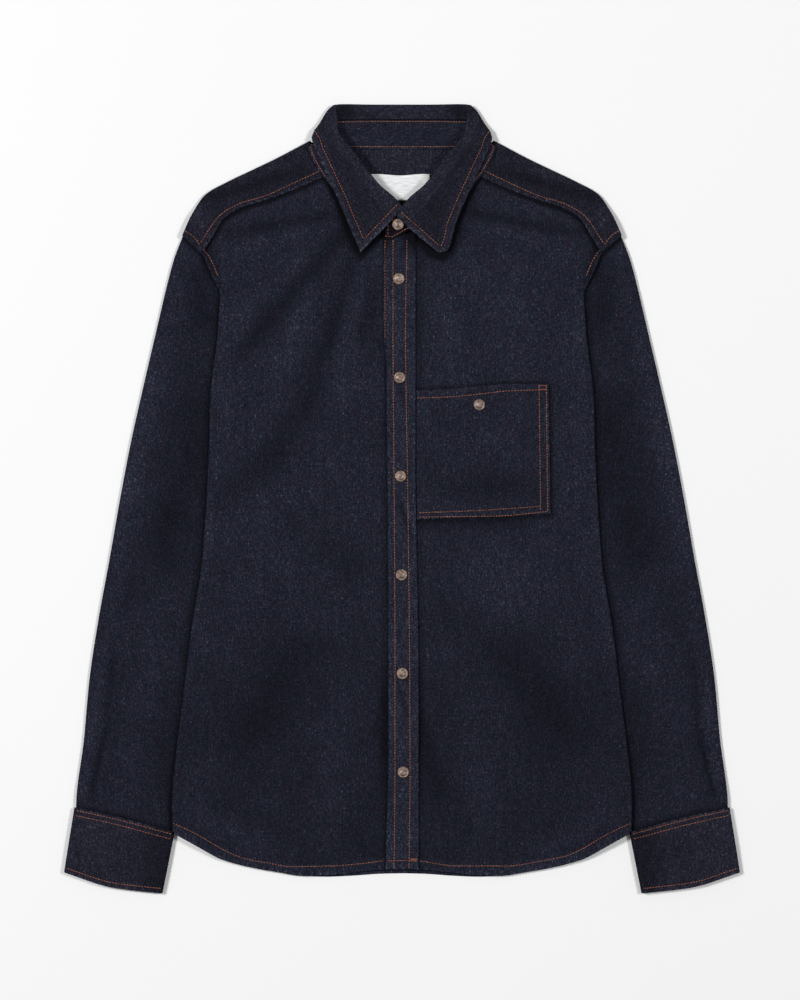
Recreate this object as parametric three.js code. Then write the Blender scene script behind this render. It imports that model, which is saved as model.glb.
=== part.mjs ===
// A denim shirt laid flat, face up and buttoned. Millimetres, +Z up, the collar towards +Y,
// the wearer's left at +X, the surface that it lies on at z = 0.
import * as THREE from 'three';

// Walls and gaps
const cloth = 1.0;
const doubled = 1.4;
const seamGap = 0.3;
const overSleeve = 3.6;          // lift of the body where it lies on the tucked part of a sleeve
const frontLoft = 3.05;          // middle of the fronts above the middle of the back
const neckRise = 1.3;            // rise of the upper fronts over the lapped back yoke seam
const cornerLift = 2.2;          // lift of the hem's corners over the cuffs
const overSleeveShare = 0.66;    // share of that lift that the looser fronts follow
const sleeveTuckTop = 2.7;       // middle of the sleeve's upper layer under the body
const sleeveSwell = 1.7;         // how much it rises beside the body
const lap = cloth + seamGap;     // one layer of cloth on another
const backYokeSeam = 243;
const frontTop = 266;
const placketLeft = -16;
const placketRight = 13.6;
const snapRadius = 5.8;
const snapHeight = 2.6;
const snapPitch = 98.6;
const firstPlacketSnap = 219;
const hemExtra = 0.6;            // the turned hem is this much thicker
const restPlay = 0.25;           // play under a band or pocket that lies on the front
const backLapPlay = 0.15;
const leafWall = 1.2;
const standWall = 1.3;
const standInset = 1.5;          // the stand ends this far short of the leaf's seam
const cornerZone = { yFrom: -235, yTo: -318, halfFrom: 160, halfTo: 224 };
const sleeveRamp = { from: 12, to: 62 };   // how far inside the sleeve's edge the layers over it come down
const neckRamp = { from: 195, to: 232 };
const lapRamp = { from: 200, to: 232 };
const frontLapRamp = { from: 16, to: 62 };

function table(columns, rows) {
  return rows.map((row) => Object.fromEntries(columns.map((name, i) => [name, row[i]])));
}

// Half-widths of the laid shirt, collar end at +Y
const bodyEdge = table(['y', 'half'], [[-337, 227], [-325, 230], [-302, 230], [-252, 226], [-197, 219],
  [-132, 211], [-62, 200], [40, 193.5], [104, 191.5], [166, 184], [206, 182], [224, 191], [243, 199],
  [253, 210.5], [261, 220]]);
const hemLine = table(['half', 'front', 'back'], [[0, -371.5, -375.5], [21, -372, -376], [51, -375, -378],
  [76, -377.4, -379], [98, -378, -378.2], [126, -374, -374], [149, -370, -370], [179.5, -362, -362],
  [202, -350, -350], [216, -342, -342], [227, -336, -336]]);
const frontTopLine = table(['at', 'half', 'y'], [[0, 5, 266], [0.06, 17, 270], [0.14, 33, 279],
  [0.24, 50, 294], [0.33, 66, 314], [0.38, 78, 326], [0.52, 112, 314.5], [0.64, 136, 306],
  [0.77, 163, 298], [0.86, 180, 288], [0.93, 192, 271], [1, 202, 251]]);
const armhole = table(['at', 'half', 'y'], [[0, 182, 206], [0.5, 191, 224], [1, 202, 251]]);
const sleeveOuter = table(['y', 'half'], [[-318, 326.2], [-309, 326.2], [-302, 326], [-242, 318.5],
  [-182, 313], [-122, 304], [-62, 293], [-2, 282.5], [58, 271], [118, 257.5], [178, 243.5], [208, 236.5],
  [238, 228.5], [262, 219.5]]);
const sleeveInner = table(['y', 'half'], [[-342, 232], [-332, 230.2], [-320, 224.5], [-302, 218],
  [-202, 191], [-102, 165], [-2, 143], [40, 138], [98, 138], [153, 150], [172, 158], [192, 167],
  [210, 175], [228, 183.5], [247, 192], [260, 205], [266, 213], [280, 235], [300, 262]]);
const sleeveCap = table(['at', 'half', 'y'], [[0, 218, 262], [0.12, 210, 261], [0.25, 203, 256],
  [0.4, 192, 246], [0.55, 183.5, 228], [0.7, 175, 210], [0.85, 164, 184], [1, 150, 153]]);
const shoulderLine = table(['at', 'half', 'y'], [[0, 92, 357], [0.25, 125, 339.5], [0.45, 150, 327.5],
  [0.65, 175, 315.5], [0.82, 196, 303.5], [0.92, 210, 283], [1, 219.5, 262]]);
const yokeFront = table(['at', 'half', 'y'], [[0, 79, 321], [0.25, 112, 306.5], [0.45, 136, 298],
  [0.65, 161, 290], [0.82, 178, 279.5], [0.92, 188, 263], [1, 198.5, 246]]);
const yokeBack = table(['at', 'half'], [[0, 84], [0.25, 115], [0.45, 140], [0.65, 162], [0.82, 178],
  [0.92, 190], [1, 199]]);
const cuffTop = table(['at', 'half', 'y'], [[0, 327.2, -309.5], [0.4, 287, -318.3], [1, 228, -334]]);
const cuffEnd = table(['at', 'half', 'y'], [[0, 337.6, -374.6], [0.45, 290, -389.5], [1, 240.2, -395.4]]);

// Sections of the collar, 0 at the middle of its back and 1 at its front end: the stand's lower seam,
// the seam of stand and leaf, the ridge, a point on the leaf's outer face and the leaf's edge.
const collarColumns = ['at', 'seamX', 'seamY', 'seamZ', 'rootX', 'rootY', 'rootZ', 'ridgeX', 'ridgeY',
  'ridgeZ', 'roll', 'outerX', 'outerY', 'outerZ', 'edgeX', 'edgeY', 'edgeZ'];
const collarSections = table(collarColumns, [
  [0.00, 0, 349, 2.1, 0, 379, 2.9, 0, 393.2, 1.7, 1.0, 0, 375, 0.6, 0, 357, 0.6],
  [0.14, 30, 349, 2.1, 30, 379, 2.9, 30, 393.2, 1.7, 1.0, 30, 375, 0.6, 30, 357, 0.6],
  [0.26, 55, 349.2, 2.6, 54, 378.5, 3.4, 56, 393.6, 2.2, 1.2, 56, 375, 0.6, 56, 357, 0.6],
  [0.34, 74, 350.5, 4.8, 64, 378, 5.6, 66.5, 392.2, 5.5, 1.6, 72, 380, 1.9, 74, 359, 0.8],
  [0.40, 87, 352, 7.4, 67.5, 371, 9.2, 65.5, 381, 11.0, 2.2, 79, 374, 4.5, 85, 361, 2.4],
  [0.45, 94, 350, 7.6, 66, 359, 11.5, 64.5, 367, 14.5, 2.6, 85, 366, 8.6, 89.5, 359, 6.4],
  [0.52, 90, 339.5, 7.6, 62, 350, 13.0, 57, 355, 16.3, 2.8, 79, 351, 13.4, 87, 351, 10.8],
  [0.60, 82.5, 326, 7.6, 54, 342, 13.2, 47.5, 344, 17.0, 2.8, 68, 341, 14.4, 81.5, 337, 11.0],
  [0.70, 72, 313, 7.6, 43, 330, 12.6, 35.5, 326.5, 16.6, 2.8, 56, 324, 14.2, 73, 318, 11.0],
  [0.80, 58, 293.5, 7.7, 30, 313, 12.0, 22, 310.5, 15.6, 2.6, 44, 304, 13.4, 64, 299, 10.6],
  [0.90, 38, 275, 7.9, 13.5, 297, 11.6, 8, 299.5, 14.6, 2.4, 32, 282, 12.8, 54, 275, 10.2]]);
const collarEndRight = table(collarColumns, [
  [1.00, 10, 269, 7.6, 3.5, 284, 10.6, -1.2, 289, 13.4, 1.8, 20, 267, 13.3, 41.3, 245.8, 9.0]]);
const collarEndLeft = table(collarColumns, [
  [0.955, 12, 268, 10.0, 5.5, 287, 12.4, 0, 290, 15.4, 1.9, 22, 270, 13.4, 47.5, 251.5, 9.4],
  [0.98, 4, 266, 10.2, 3.5, 283, 12.4, -2.4, 285.5, 15.3, 1.8, 19, 266, 13.4, 44.5, 246.6, 9.2],
  [1.00, -2, 263, 10.3, 2, 279, 12.4, -4.6, 281, 15.2, 1.7, 15, 262.5, 13.4, 36.5, 245.4, 9.2]]);
const standLapEnd = table(['along', 'seamX', 'seamY', 'topX', 'topY', 'z'],
  [[0.5, -10, 258.5, -7, 280, 10.1], [1, -17, 259, -17, 277, 10.1]]);

// The folds of the fronts: a ridge (+) or trough (-) from one point to another
const frontFolds = table(['x1', 'y1', 'x2', 'y2', 'width', 'height'], [
  [-150, 266, -86, 282, 11, -0.9], [150, 268, 88, 280, 11, -0.9],
  [-66, 236, -150, 128, 22, -0.8], [-52, 236, -96, 120, 16, -0.7], [-122, 205, -88, 245, 22, 0.7],
  [-78, 150, -132, 66, 24, -0.7], [-100, -110, -188, -210, 30, -1.0], [96, -110, 176, -210, 30, -1.0],
  [-22, -150, -30, -230, 12, -0.8], [24, -150, 44, -250, 13, -0.8], [-60, -170, -70, -330, 26, 0.6],
  [66, -180, 84, -330, 26, 0.6], [-130, 20, -150, -120, 26, 0.6], [130, -40, 150, -140, 26, 0.6]]);

const clamp01 = (x) => Math.min(1, Math.max(0, x));
const mix = (a, b, t) => a + (b - a) * t;
const steps = (n) => Array.from({ length: n + 1 }, (_, i) => i / n);

function smooth(from, to, x) {
  const t = clamp01((x - from) / (to - from));
  return t * t * (3 - 2 * t);
}

// Every column of a table at one value of its first column: cubics that never overshoot the rows
function sample(rows, value) {
  const key = Object.keys(rows[0])[0];
  const last = rows.length - 1;
  const x = Math.min(rows[last][key], Math.max(rows[0][key], value));
  let i = 0;
  while (i < last - 1 && rows[i + 1][key] < x) i += 1;
  const width = (k) => rows[k + 1][key] - rows[k][key];
  const t = (x - rows[i][key]) / width(i);
  const found = {};
  for (const name of Object.keys(rows[0])) {
    const rise = (k) => (rows[k + 1][name] - rows[k][name]) / width(k);
    const slope = (k) => {
      if (k === 0) return rise(0);
      if (k === last) return rise(last - 1);
      const [a, b] = [rise(k - 1), rise(k)];
      return a * b <= 0 ? 0 : (2 * a * b) / (a + b);
    };
    const [a, b] = [rows[i][name], rows[i + 1][name]];
    const [ma, mb] = [slope(i) * width(i), slope(i + 1) * width(i)];
    found[name] = a + ma * t + (3 * (b - a) - 2 * ma - mb) * t * t + (2 * (a - b) + ma + mb) * t * t * t;
  }
  return found;
}

// Heights of the middles of the layers
function hemCorner(x, y) {
  const low = smooth(cornerZone.yFrom, cornerZone.yTo, y);
  return cornerLift * low * smooth(cornerZone.halfFrom, cornerZone.halfTo, Math.abs(x));
}

function backHeight(x, y) {
  const inside = sample(sleeveInner, y).half - Math.abs(x);
  return cloth / 2 + overSleeve * (1 - smooth(sleeveRamp.from, sleeveRamp.to, inside)) + hemCorner(x, y);
}

function frontHeight(x, y) {
  const sleeveBelow = backHeight(x, y) - cloth / 2 - hemCorner(x, y);
  let z = cloth / 2 + frontLoft + overSleeveShare * sleeveBelow + 1.15 * hemCorner(x, y)
    + neckRise * smooth(neckRamp.from, neckRamp.to, y);
  for (const fold of frontFolds) {
    const [dx, dy] = [fold.x2 - fold.x1, fold.y2 - fold.y1];
    const along = ((x - fold.x1) * dx + (y - fold.y1) * dy) / (dx * dx + dy * dy);
    const aside = Math.abs((x - fold.x1) * dy - (y - fold.y1) * dx) / Math.hypot(dx, dy);
    const ends = smooth(-0.25, 0.25, along) * (1 - smooth(0.75, 1.25, along));
    z += 0.75 * fold.height * ends * Math.exp(-((aside / fold.width) ** 2));
  }
  return z;
}

function frontLeftHeight(x, y) {
  return frontHeight(x, y) + lap * (1 - smooth(frontLapRamp.from, frontLapRamp.to, x));
}

const placketHeight = (y) => frontHeight(0, y) + 2 * lap + (doubled - cloth) / 2 + 0.5;

// A closed wall round a grid of points on its middle surface. Each point is moved half the wall to
// both sides along the surface's own normal; a ring joins its last column to its first.
function wall(grid, thickness, { ring = false, keep = () => true } = {}) {
  const [rows, columns] = [grid.length, grid[0].length];
  const at = (i, j) => grid[Math.min(rows - 1, Math.max(0, i))][
    ring ? (j + columns) % columns : Math.min(columns - 1, Math.max(0, j))];
  const position = [];
  for (const side of [1, -1]) {
    for (let i = 0; i < rows; i += 1) {
      for (let j = 0; j < columns; j += 1) {
        const normal = at(i, j + 1).clone().sub(at(i, j - 1))
          .cross(at(i + 1, j).clone().sub(at(i - 1, j))).normalize();
        const thick = typeof thickness === 'function' ? thickness(i, j) : thickness;
        const point = at(i, j).clone().addScaledVector(normal, (side * thick) / 2);
        position.push(point.x, point.y, point.z);
      }
    }
  }
  const lastColumn = ring ? columns : columns - 1;
  const upper = (i, j) => i * columns + ((j + columns) % columns);
  const lower = (i, j) => rows * columns + upper(i, j);
  const has = (i, j) => i >= 0 && i < rows - 1 && (ring || (j >= 0 && j < columns - 1))
    && keep(i, ring ? (j + columns) % columns : j);
  const index = [];
  const quad = (a, b, c, d) => index.push(a, b, c, a, c, d);
  for (let i = 0; i < rows - 1; i += 1) {
    for (let j = 0; j < lastColumn; j += 1) {
      if (!has(i, j)) continue;
      quad(upper(i, j), upper(i, j + 1), upper(i + 1, j + 1), upper(i + 1, j));
      quad(lower(i, j), lower(i + 1, j), lower(i + 1, j + 1), lower(i, j + 1));
      if (!has(i - 1, j)) quad(upper(i, j + 1), upper(i, j), lower(i, j), lower(i, j + 1));
      if (!has(i + 1, j)) quad(upper(i + 1, j), upper(i + 1, j + 1), lower(i + 1, j + 1), lower(i + 1, j));
      if (!has(i, j - 1)) quad(upper(i, j), upper(i + 1, j), lower(i + 1, j), lower(i, j));
      if (!has(i, j + 1)) quad(upper(i + 1, j + 1), upper(i, j + 1), lower(i, j + 1), lower(i + 1, j + 1));
    }
  }
  return facingOut(position, index);
}

// A geometry with its faces turned outwards: a closed body's signed volume is positive
function facingOut(position, index) {
  const point = (k) => new THREE.Vector3().fromArray(position, 3 * k);
  let volume = 0;
  for (let k = 0; k < index.length; k += 3) {
    volume += point(index[k]).dot(point(index[k + 1]).cross(point(index[k + 2])));
  }
  const used = [...new Set(index)].sort((a, b) => a - b);
  const place = new Map(used.map((old, now) => [old, now]));
  let faces = index.map((old) => place.get(old));
  if (volume < 0) faces = faces.map((_, k) => faces[3 * Math.floor(k / 3) + 2 - (k % 3)]);
  const geometry = new THREE.BufferGeometry();
  const kept = used.flatMap((old) => position.slice(3 * old, 3 * old + 3));
  geometry.setAttribute('position', new THREE.Float32BufferAttribute(kept, 3));
  geometry.setIndex(faces);
  geometry.computeVertexNormals();
  return geometry;
}

const vector = (x, y, z) => new THREE.Vector3(x, y, z);

// A patch between a lower curve, an upper curve and two side curves, each a function of 0 to 1
function patch(bottom, top, left, right, across, up, height) {
  return up.map((v) => across.map((u) => {
    const [b, t, l, r] = [bottom(u), top(u), left(v), right(v)];
    const corner = (k) => (1 - u) * ((1 - v) * bottom(0)[k] + v * top(0)[k])
      + u * ((1 - v) * bottom(1)[k] + v * top(1)[k]);
    const [x, y] = [0, 1].map((k) => (1 - v) * b[k] + v * t[k] + (1 - u) * l[k] + u * r[k] - corner(k));
    return vector(x, y, height(x, y));
  }));
}

const hemBand = 0.018;
const armholeFrom = 0.925;
const bodyRows = [0, hemBand, ...steps(19).map((t) => mix(0.055, armholeFrom, t)), 0.95, 0.975, 1];

// The side of the body: its fold edge, then the armhole
function bodySide(side) {
  return (v) => {
    if (v <= armholeFrom) {
      const y = mix(hemLine[hemLine.length - 1].front, armhole[0].y, v / armholeFrom);
      return [side * (sample(bodyEdge, y).half - cloth / 2), y];
    }
    const seam = sample(armhole, (v - armholeFrom) / (1 - armholeFrom));
    return [side * (seam.half - cloth / 2), seam.y];
  };
}

const hemThickness = (i) => (i < 2 ? cloth + hemExtra : cloth);
const seamEnd = armhole[armhole.length - 1];
const topCorner = [seamEnd.half - cloth / 2, seamEnd.y];   // where the fronts and the back meet the armhole

function front(side, inner, height) {
  const edge = bodySide(side);
  const [start] = edge(0);
  const bottom = (u) => {
    const x = mix(inner, start, u);
    return [x, sample(hemLine, Math.abs(x)).front];
  };
  const top = (u) => {
    const seam = sample(frontTopLine, u);
    if (u === 0) return [inner, frontTop];
    return u === 1 ? [side * topCorner[0], topCorner[1]] : [side * seam.half, seam.y];
  };
  const left = (v) => [inner, mix(bottom(0)[1], frontTop, v)];
  return wall(patch(bottom, top, left, edge, steps(13), bodyRows, height), hemThickness);
}

function back() {
  const edges = [bodySide(-1), bodySide(1)];
  const half = edges[1](0)[0];
  const [topHalf, topY] = topCorner;
  const bottom = (u) => [mix(-half, half, u), sample(hemLine, Math.abs(mix(-half, half, u))).back];
  const top = (u) => [mix(-topHalf, topHalf, u), topY];
  const lift = lap + backLapPlay;
  const height = (x, y) => backHeight(x, y) + lift * smooth(lapRamp.from, lapRamp.to, y);
  const rows = bodyRows.filter((_, i) => i < 2 || i % 2 === 0 || i > 18);
  return wall(patch(bottom, top, edges[0], edges[1], steps(22), rows, height), cloth);
}

// The yoke: its back lies on the surface, its wings fold over the shoulder lines and lap the fronts
const wingColumns = [0, 0.12, 0.28, 0.44, 0.6, 0.72, 0.82, 0.9, 0.96, 1];
const neckHalf = 5;              // columns on each side of the middle of the neck
const neckSeamY = 355;
const yokeRows = { back: [0, 0.16, 0.36, 0.6, 0.84, 0.97], fold: 1, front: [0.05, 0.2, 0.45, 0.72, 0.9, 1] };
const yokeLift = cloth / 2 + frontLoft + neckRise + lap + 0.2;
const wingDip = 1.5;             // the wings sink between the front yoke seam and the shoulder line

const yokeTop = (x, y) => yokeLift + overSleeveShare * (backHeight(x, y) - cloth / 2);

function wingPoint(side, at, row) {
  const [fold, low, high] = [sample(shoulderLine, at), sample(yokeBack, at), sample(yokeFront, at)];
  const backRows = yokeRows.back.length;
  if (row < backRows) {
    const t = yokeRows.back[row];
    const [x, y] = [mix(low.half, fold.half, t), mix(backYokeSeam, fold.y, t)];
    return vector(side * x, y, backHeight(x, y));
  }
  if (row === backRows) {
    const z = (backHeight(fold.half, fold.y) + yokeTop(fold.half, fold.y)) / 2;
    return vector(side * fold.half, fold.y, z);
  }
  const t = yokeRows.front[row - backRows - 1];
  const [x, y] = [mix(fold.half, high.half, t), mix(fold.y, high.y, t)];
  const round = Math.hypot(x - fold.half, y - fold.y);
  const middle = (backHeight(x, y) + yokeTop(x, y)) / 2;
  const top = yokeTop(x, y) - wingDip * (1 - smooth(0.3, 0.7, t));
  return vector(side * x, y, mix(middle, top, Math.sqrt(smooth(-0.6, 9, round))));
}

function yoke() {
  const total = yokeRows.back.length + 1 + yokeRows.front.length;
  const grid = [];
  for (let row = 0; row < total; row += 1) {
    const wing = (side) => wingColumns.map((at) => wingPoint(side, at, row));
    const t = Math.min(1, yokeRows.back[row] ?? 1);
    const neck = [];
    for (let k = 1; k < 2 * neckHalf; k += 1) {
      const across = k / neckHalf - 1;
      const x = mix(yokeBack[0].half, shoulderLine[0].half, t) * across;
      const y = mix(backYokeSeam, neckSeamY, t);
      neck.push(vector(x, y, backHeight(x, y)));
    }
    grid.push([...wing(-1).reverse(), ...neck, ...wing(1)]);
  }
  const first = wingColumns.length - 1;
  const last = first + 2 * neckHalf;
  const keep = (i, j) => i < yokeRows.back.length || j < first || j >= last;
  return wall(grid, cloth, { keep });
}

// A sleeve: a flattened tube whose head and inner edge are tucked under the body
const sleeveRing = [...[0, 0.012, 0.05, 0.14, 0.3, 0.47, 0.64, 0.81, 0.94, 0.99, 1].map((s) => [s, 1]),
  ...[0.985, 0.85, 0.62, 0.38, 0.15, 0.015].map((s) => [s, -1])];
const sleeveStations = [0, 0.02, 0.05, 0.09, 0.14, 0.2, 0.26, 0.33, 0.4, 0.47, 0.54, 0.61, 0.68, 0.75, 0.82,
  0.88, 0.93, 0.96, 0.98, 1];
const sleeveRound = { top: 7, under: 2.2, underMost: 1.3 };   // rounding of the tube's edges
const sleeveEnd = { top: 4.2, lift: 1.8 };                    // the sleeve's end fits in the cuff
const pleat = { halfTop: 290, yTop: -157, halfEnd: 314, yEnd: -309, width: 7, height: 0.9 };

function sleevePlan(s, t) {
  const outerY = mix(262, -318, t);
  const innerY = mix(153, -342, t);
  const [outer, inner] = [sample(sleeveOuter, outerY).half - 0.5, sample(sleeveInner, innerY).half];
  const cap = sample(sleeveCap, s);
  const fade = (1 - smooth(0, 0.3, t));
  const [x, y] = [mix(outer, inner, s), mix(outerY, innerY, s)];
  const start = [mix(218, 150, s), mix(262, 153, s)];
  return [x + (cap.half - start[0]) * fade, y + (cap.y - start[1]) * fade, outer - inner];
}

function sleeveTopHeight(x, y, t) {
  const beyond = x - sample(bodyEdge, y).half;
  const [dx, dy] = [pleat.halfEnd - pleat.halfTop, pleat.yEnd - pleat.yTop];
  const along = ((x - pleat.halfTop) * dx + (y - pleat.yTop) * dy) / (dx * dx + dy * dy);
  const aside = ((x - pleat.halfTop) * dy - (y - pleat.yTop) * dx) / Math.hypot(dx, dy);
  const fold = pleat.height * smooth(0, 0.5, along) * Math.exp(-((aside / pleat.width) ** 2));
  const full = sleeveTuckTop + sleeveSwell * smooth(2, 26, beyond) + fold;
  return mix(full, sleeveEnd.top, smooth(0.94, 0.985, t));
}

function sleeve(side) {
  const grid = sleeveStations.map((t) => sleeveRing.map(([s, layer]) => {
    const [x, y, width] = sleevePlan(s, t);
    const low = cloth / 2 + sleeveEnd.lift * smooth(0.93, 0.98, t);
    const high = sleeveTopHeight(x, y, t);
    const fromEdge = Math.min(s, 1 - s) * width;
    const middle = Math.min((low + high) / 2, low + sleeveRound.underMost);
    const curve = (round) => Math.sqrt(1 - (1 - Math.min(1, fromEdge / round)) ** 2);
    const above = layer > 0;
    const z = mix(middle, above ? high : low, curve(above ? sleeveRound.top : sleeveRound.under));
    return vector(side * x, y, z);
  }));
  return wall(grid, cloth, { ring: true });
}

const cuffShape = { middle: 3.2, top: 5.8, roundShare: 0.03 };
const cuffRing = [...[0, 0.014, 0.05, 0.3, 0.55, 0.8, 0.95, 0.986, 1].map((s) => [s, 1]),
  ...[0.98, 0.7, 0.35, 0.02].map((s) => [s, -1])];

function cuff(side) {
  const grid = steps(4).map((t) => cuffRing.map(([s, layer]) => {
    const [a, b] = [sample(cuffTop, s), sample(cuffEnd, s)];
    const [x, y] = [mix(a.half, b.half, t), mix(a.y, b.y, t)];
    const curve = Math.sqrt(1 - (1 - Math.min(1, Math.min(s, 1 - s) / cuffShape.roundShare)) ** 2);
    return vector(side * x, y, mix(cuffShape.middle, layer > 0 ? cuffShape.top : doubled / 2, curve));
  }));
  return wall(grid, doubled, { ring: true });
}

// The collar's sections on one side of the neck
function collarSide(side) {
  return [...collarSections, ...(side > 0 ? collarEndLeft : collarEndRight)];
}

function collarPoint(row, side, name) {
  return vector(side * row[`${name}X`], row[`${name}Y`], row[`${name}Z`]);
}

// Across the leaf: from its seam to the ridge, half round it, then over the outer face to the edge
function leafSection(row, side) {
  const at = (name) => collarPoint(row, side, name);
  const [root, ridge, outer, edge] = [at('root'), at('ridge'), at('outer'), at('edge')];
  const toRoot = root.clone().sub(ridge).normalize();
  const toOuter = outer.clone().sub(ridge).normalize();
  const inward = toRoot.clone().add(toOuter).normalize();
  const over = toOuter.clone().sub(toRoot);
  over.addScaledVector(inward, -over.dot(inward)).normalize();
  const centre = ridge.clone().addScaledVector(inward, row.roll);
  const arc = (angle) => centre.clone().addScaledVector(inward, -row.roll * Math.cos(angle))
    .addScaledVector(over, row.roll * Math.sin(angle));
  const turns = [-90, -30, 30, 90].map((a) => arc((a * Math.PI) / 180));
  const between = (a, b) => a.clone().lerp(b, 0.5);
  return [root, ...turns, between(turns[3], outer), outer, between(outer, edge), edge];
}

const collarSteps = [0, 0.13, 0.22, 0.28, 0.32, 0.36, 0.4, 0.44, 0.48, 0.52, 0.58, 0.65, 0.74, 0.83, 0.9,
  0.955, 0.98, 1];

function collarStations() {
  return [...collarSteps.slice(1).reverse().map((at) => [-1, at]), ...collarSteps.map((at) => [1, at])];
}

function collarLeaf() {
  const section = ([side, at]) => leafSection(sample(collarSide(side), at), side);
  return wall(collarStations().map(section), leafWall);
}

function collarStand() {
  const strip = (low, high) => steps(3).map((t) => low.clone().lerp(high, t));
  const grid = collarStations().map(([side, at]) => {
    const row = sample(collarSide(side), at);
    const seam = collarPoint(row, side, 'seam');
    const root = collarPoint(row, side, 'root');
    return strip(seam, root.clone().add(seam.clone().sub(root).setLength(standInset)));
  });
  for (const end of standLapEnd) {
    grid.push(strip(vector(end.seamX, end.seamY, end.z), vector(end.topX, end.topY, end.z + 0.8)));
  }
  return wall(grid, standWall);
}

// Bands and patches that lie on the fronts
function band(left, right, bottom, top, thickness, height) {
  const rows = [0, 0.02, ...steps(20).map((t) => mix(0.05, 1, t))];
  const grid = rows.map((v) => [0, 0.5, 1].map((u) => {
    const y = mix(bottom, top, v);
    return vector(mix(left(y), right(y), u), y, height(y));
  }));
  return wall(grid, thickness);
}

const bandEnd = -371;
const placketTop = 264;
const placketEdge = (y) => placketLeft + 3 * (smooth(260, -200, y) - smooth(-240, -366, y));
const underEdge = (y) => placketLeft - 2.6 + 4.6 * smooth(180, 100, y);
const placketFarEdge = (y) => placketRight + 3 * smooth(30, -190, y);

function pocket() {
  const columns = steps(8);
  const grid = steps(8).map((v) => columns.map((u) => {
    const bottomY = mix(-21.5, -15.5, u);
    const topY = mix(107.5, 114, smooth(0, 0.75, u));
    const y = mix(bottomY, topY, v);
    const x = mix(placketFarEdge(y) + 0.8, mix(148.5, 146.5, v), u);
    return vector(x, y, frontLeftHeight(x, y) + lap + restPlay);
  }));
  return wall(grid, cloth);
}

function label() {
  const grid = steps(3).map((v) => steps(8).map((u) => {
    const wave = 0.5 * Math.sin(u * 9);
    return vector(mix(-34, 28, u), mix(298, 323.5 + wave, v), lap + 0.7 + 0.4 * wave);
  }));
  return wall(grid, 1.0);
}

// A domed cap with a turned-under rim, its base at z = 0
function snapCap() {
  const outline = [[0, 0], [0.86, 0], [1, 0.22], [0.97, 0.5], [0.8, 0.8], [0.45, 0.96], [0, 1]];
  const profile = outline.map(([r, z]) => new THREE.Vector2(r * snapRadius, z * snapHeight));
  return new THREE.LatheGeometry(profile, 12).rotateX(Math.PI / 2);
}

const denim = (shade) => new THREE.MeshStandardMaterial({ color: shade, roughness: 0.9, metalness: 0 });
const satin = new THREE.MeshStandardMaterial({ color: 0xdadbdb, roughness: 0.45, metalness: 0 });
const copper = new THREE.MeshStandardMaterial({ color: 0x7d6452, roughness: 0.45, metalness: 0.9 });

const shirt = new THREE.Group();

function add(name, geometry, material, place = [0, 0, 0]) {
  const mesh = new THREE.Mesh(geometry, material);
  mesh.name = name;
  mesh.position.set(...place);
  shirt.add(mesh);
}

const frontColour = denim(0x23252f);
const darkColour = denim(0x1d1e27);
const sleeveColour = denim(0x20212b);

add('back', back(), darkColour);
add('yoke', yoke(), frontColour);
add('front_right', front(-1, 4, frontHeight), frontColour);
add('front_left', front(1, 5.5, frontLeftHeight), frontColour);
const underHeight = (y) => frontHeight(-6, y) + lap + restPlay;
add('placket_under', band(underEdge, () => 4, bandEnd, frontTop, cloth, underHeight), frontColour);
add('placket', band(placketEdge, placketFarEdge, bandEnd, placketTop, doubled, placketHeight), frontColour);
add('collar_stand', collarStand(), frontColour);
add('collar_leaf', collarLeaf(), frontColour);
add('sleeve_right', sleeve(-1), sleeveColour);
add('sleeve_left', sleeve(1), sleeveColour);
add('cuff_right', cuff(-1), sleeveColour);
add('cuff_left', cuff(1), sleeveColour);
add('pocket', pocket(), frontColour);
add('label', label(), satin);
add('snap_1', snapCap(), copper, [-4, 273, 12.5]);
for (let k = 0; k < 6; k += 1) {
  const y = firstPlacketSnap - k * snapPitch;
  add(`snap_${k + 2}`, snapCap(), copper, [-3 + 0.9 * k, y, placketHeight(y) + doubled / 2 + 0.1 + seamGap]);
}
const pocketSnap = [77.3, 93.2];
const pocketSnapZ = frontLeftHeight(...pocketSnap) + lap + restPlay + cloth / 2 + 0.35;
add('snap_pocket', snapCap(), copper, [...pocketSnap, pocketSnapZ]);

export default shirt;
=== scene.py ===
import math

import bpy
import numpy as np
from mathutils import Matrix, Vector


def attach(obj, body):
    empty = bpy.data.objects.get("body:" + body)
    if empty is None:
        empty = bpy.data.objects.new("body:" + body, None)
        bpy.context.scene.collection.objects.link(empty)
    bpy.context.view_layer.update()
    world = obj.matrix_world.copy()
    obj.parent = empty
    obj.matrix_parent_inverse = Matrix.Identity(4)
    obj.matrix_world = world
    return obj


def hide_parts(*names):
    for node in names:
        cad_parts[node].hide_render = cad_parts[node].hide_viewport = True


# A denim shirt laid flat and face up. Forms are worked out in millimetres and turned to metres in makeMesh.
# +X is the wearer's left, +Y the collar, and the surface that it lies on is z = 0.

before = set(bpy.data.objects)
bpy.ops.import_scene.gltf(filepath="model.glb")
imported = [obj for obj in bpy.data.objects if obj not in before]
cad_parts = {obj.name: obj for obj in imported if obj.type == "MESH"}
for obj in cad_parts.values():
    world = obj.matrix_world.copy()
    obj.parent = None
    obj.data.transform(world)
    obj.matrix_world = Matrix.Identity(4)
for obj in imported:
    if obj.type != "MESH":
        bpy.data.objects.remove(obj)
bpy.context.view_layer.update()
random = np.random.default_rng(7)

view = {"centreX": -2.0, "centreY": -2.0, "distance": 4000.0, "frameHeight": 1000.0}
studio = {"softboxes": [(-3.6, 1.1, 4.6, 247.0), (4.4, 0.9, 5.6, 222.0)], "softboxSize": 1.3, "skyStrength": 0.2,
          "floorGrey": "#F0F0F1"}


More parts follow.
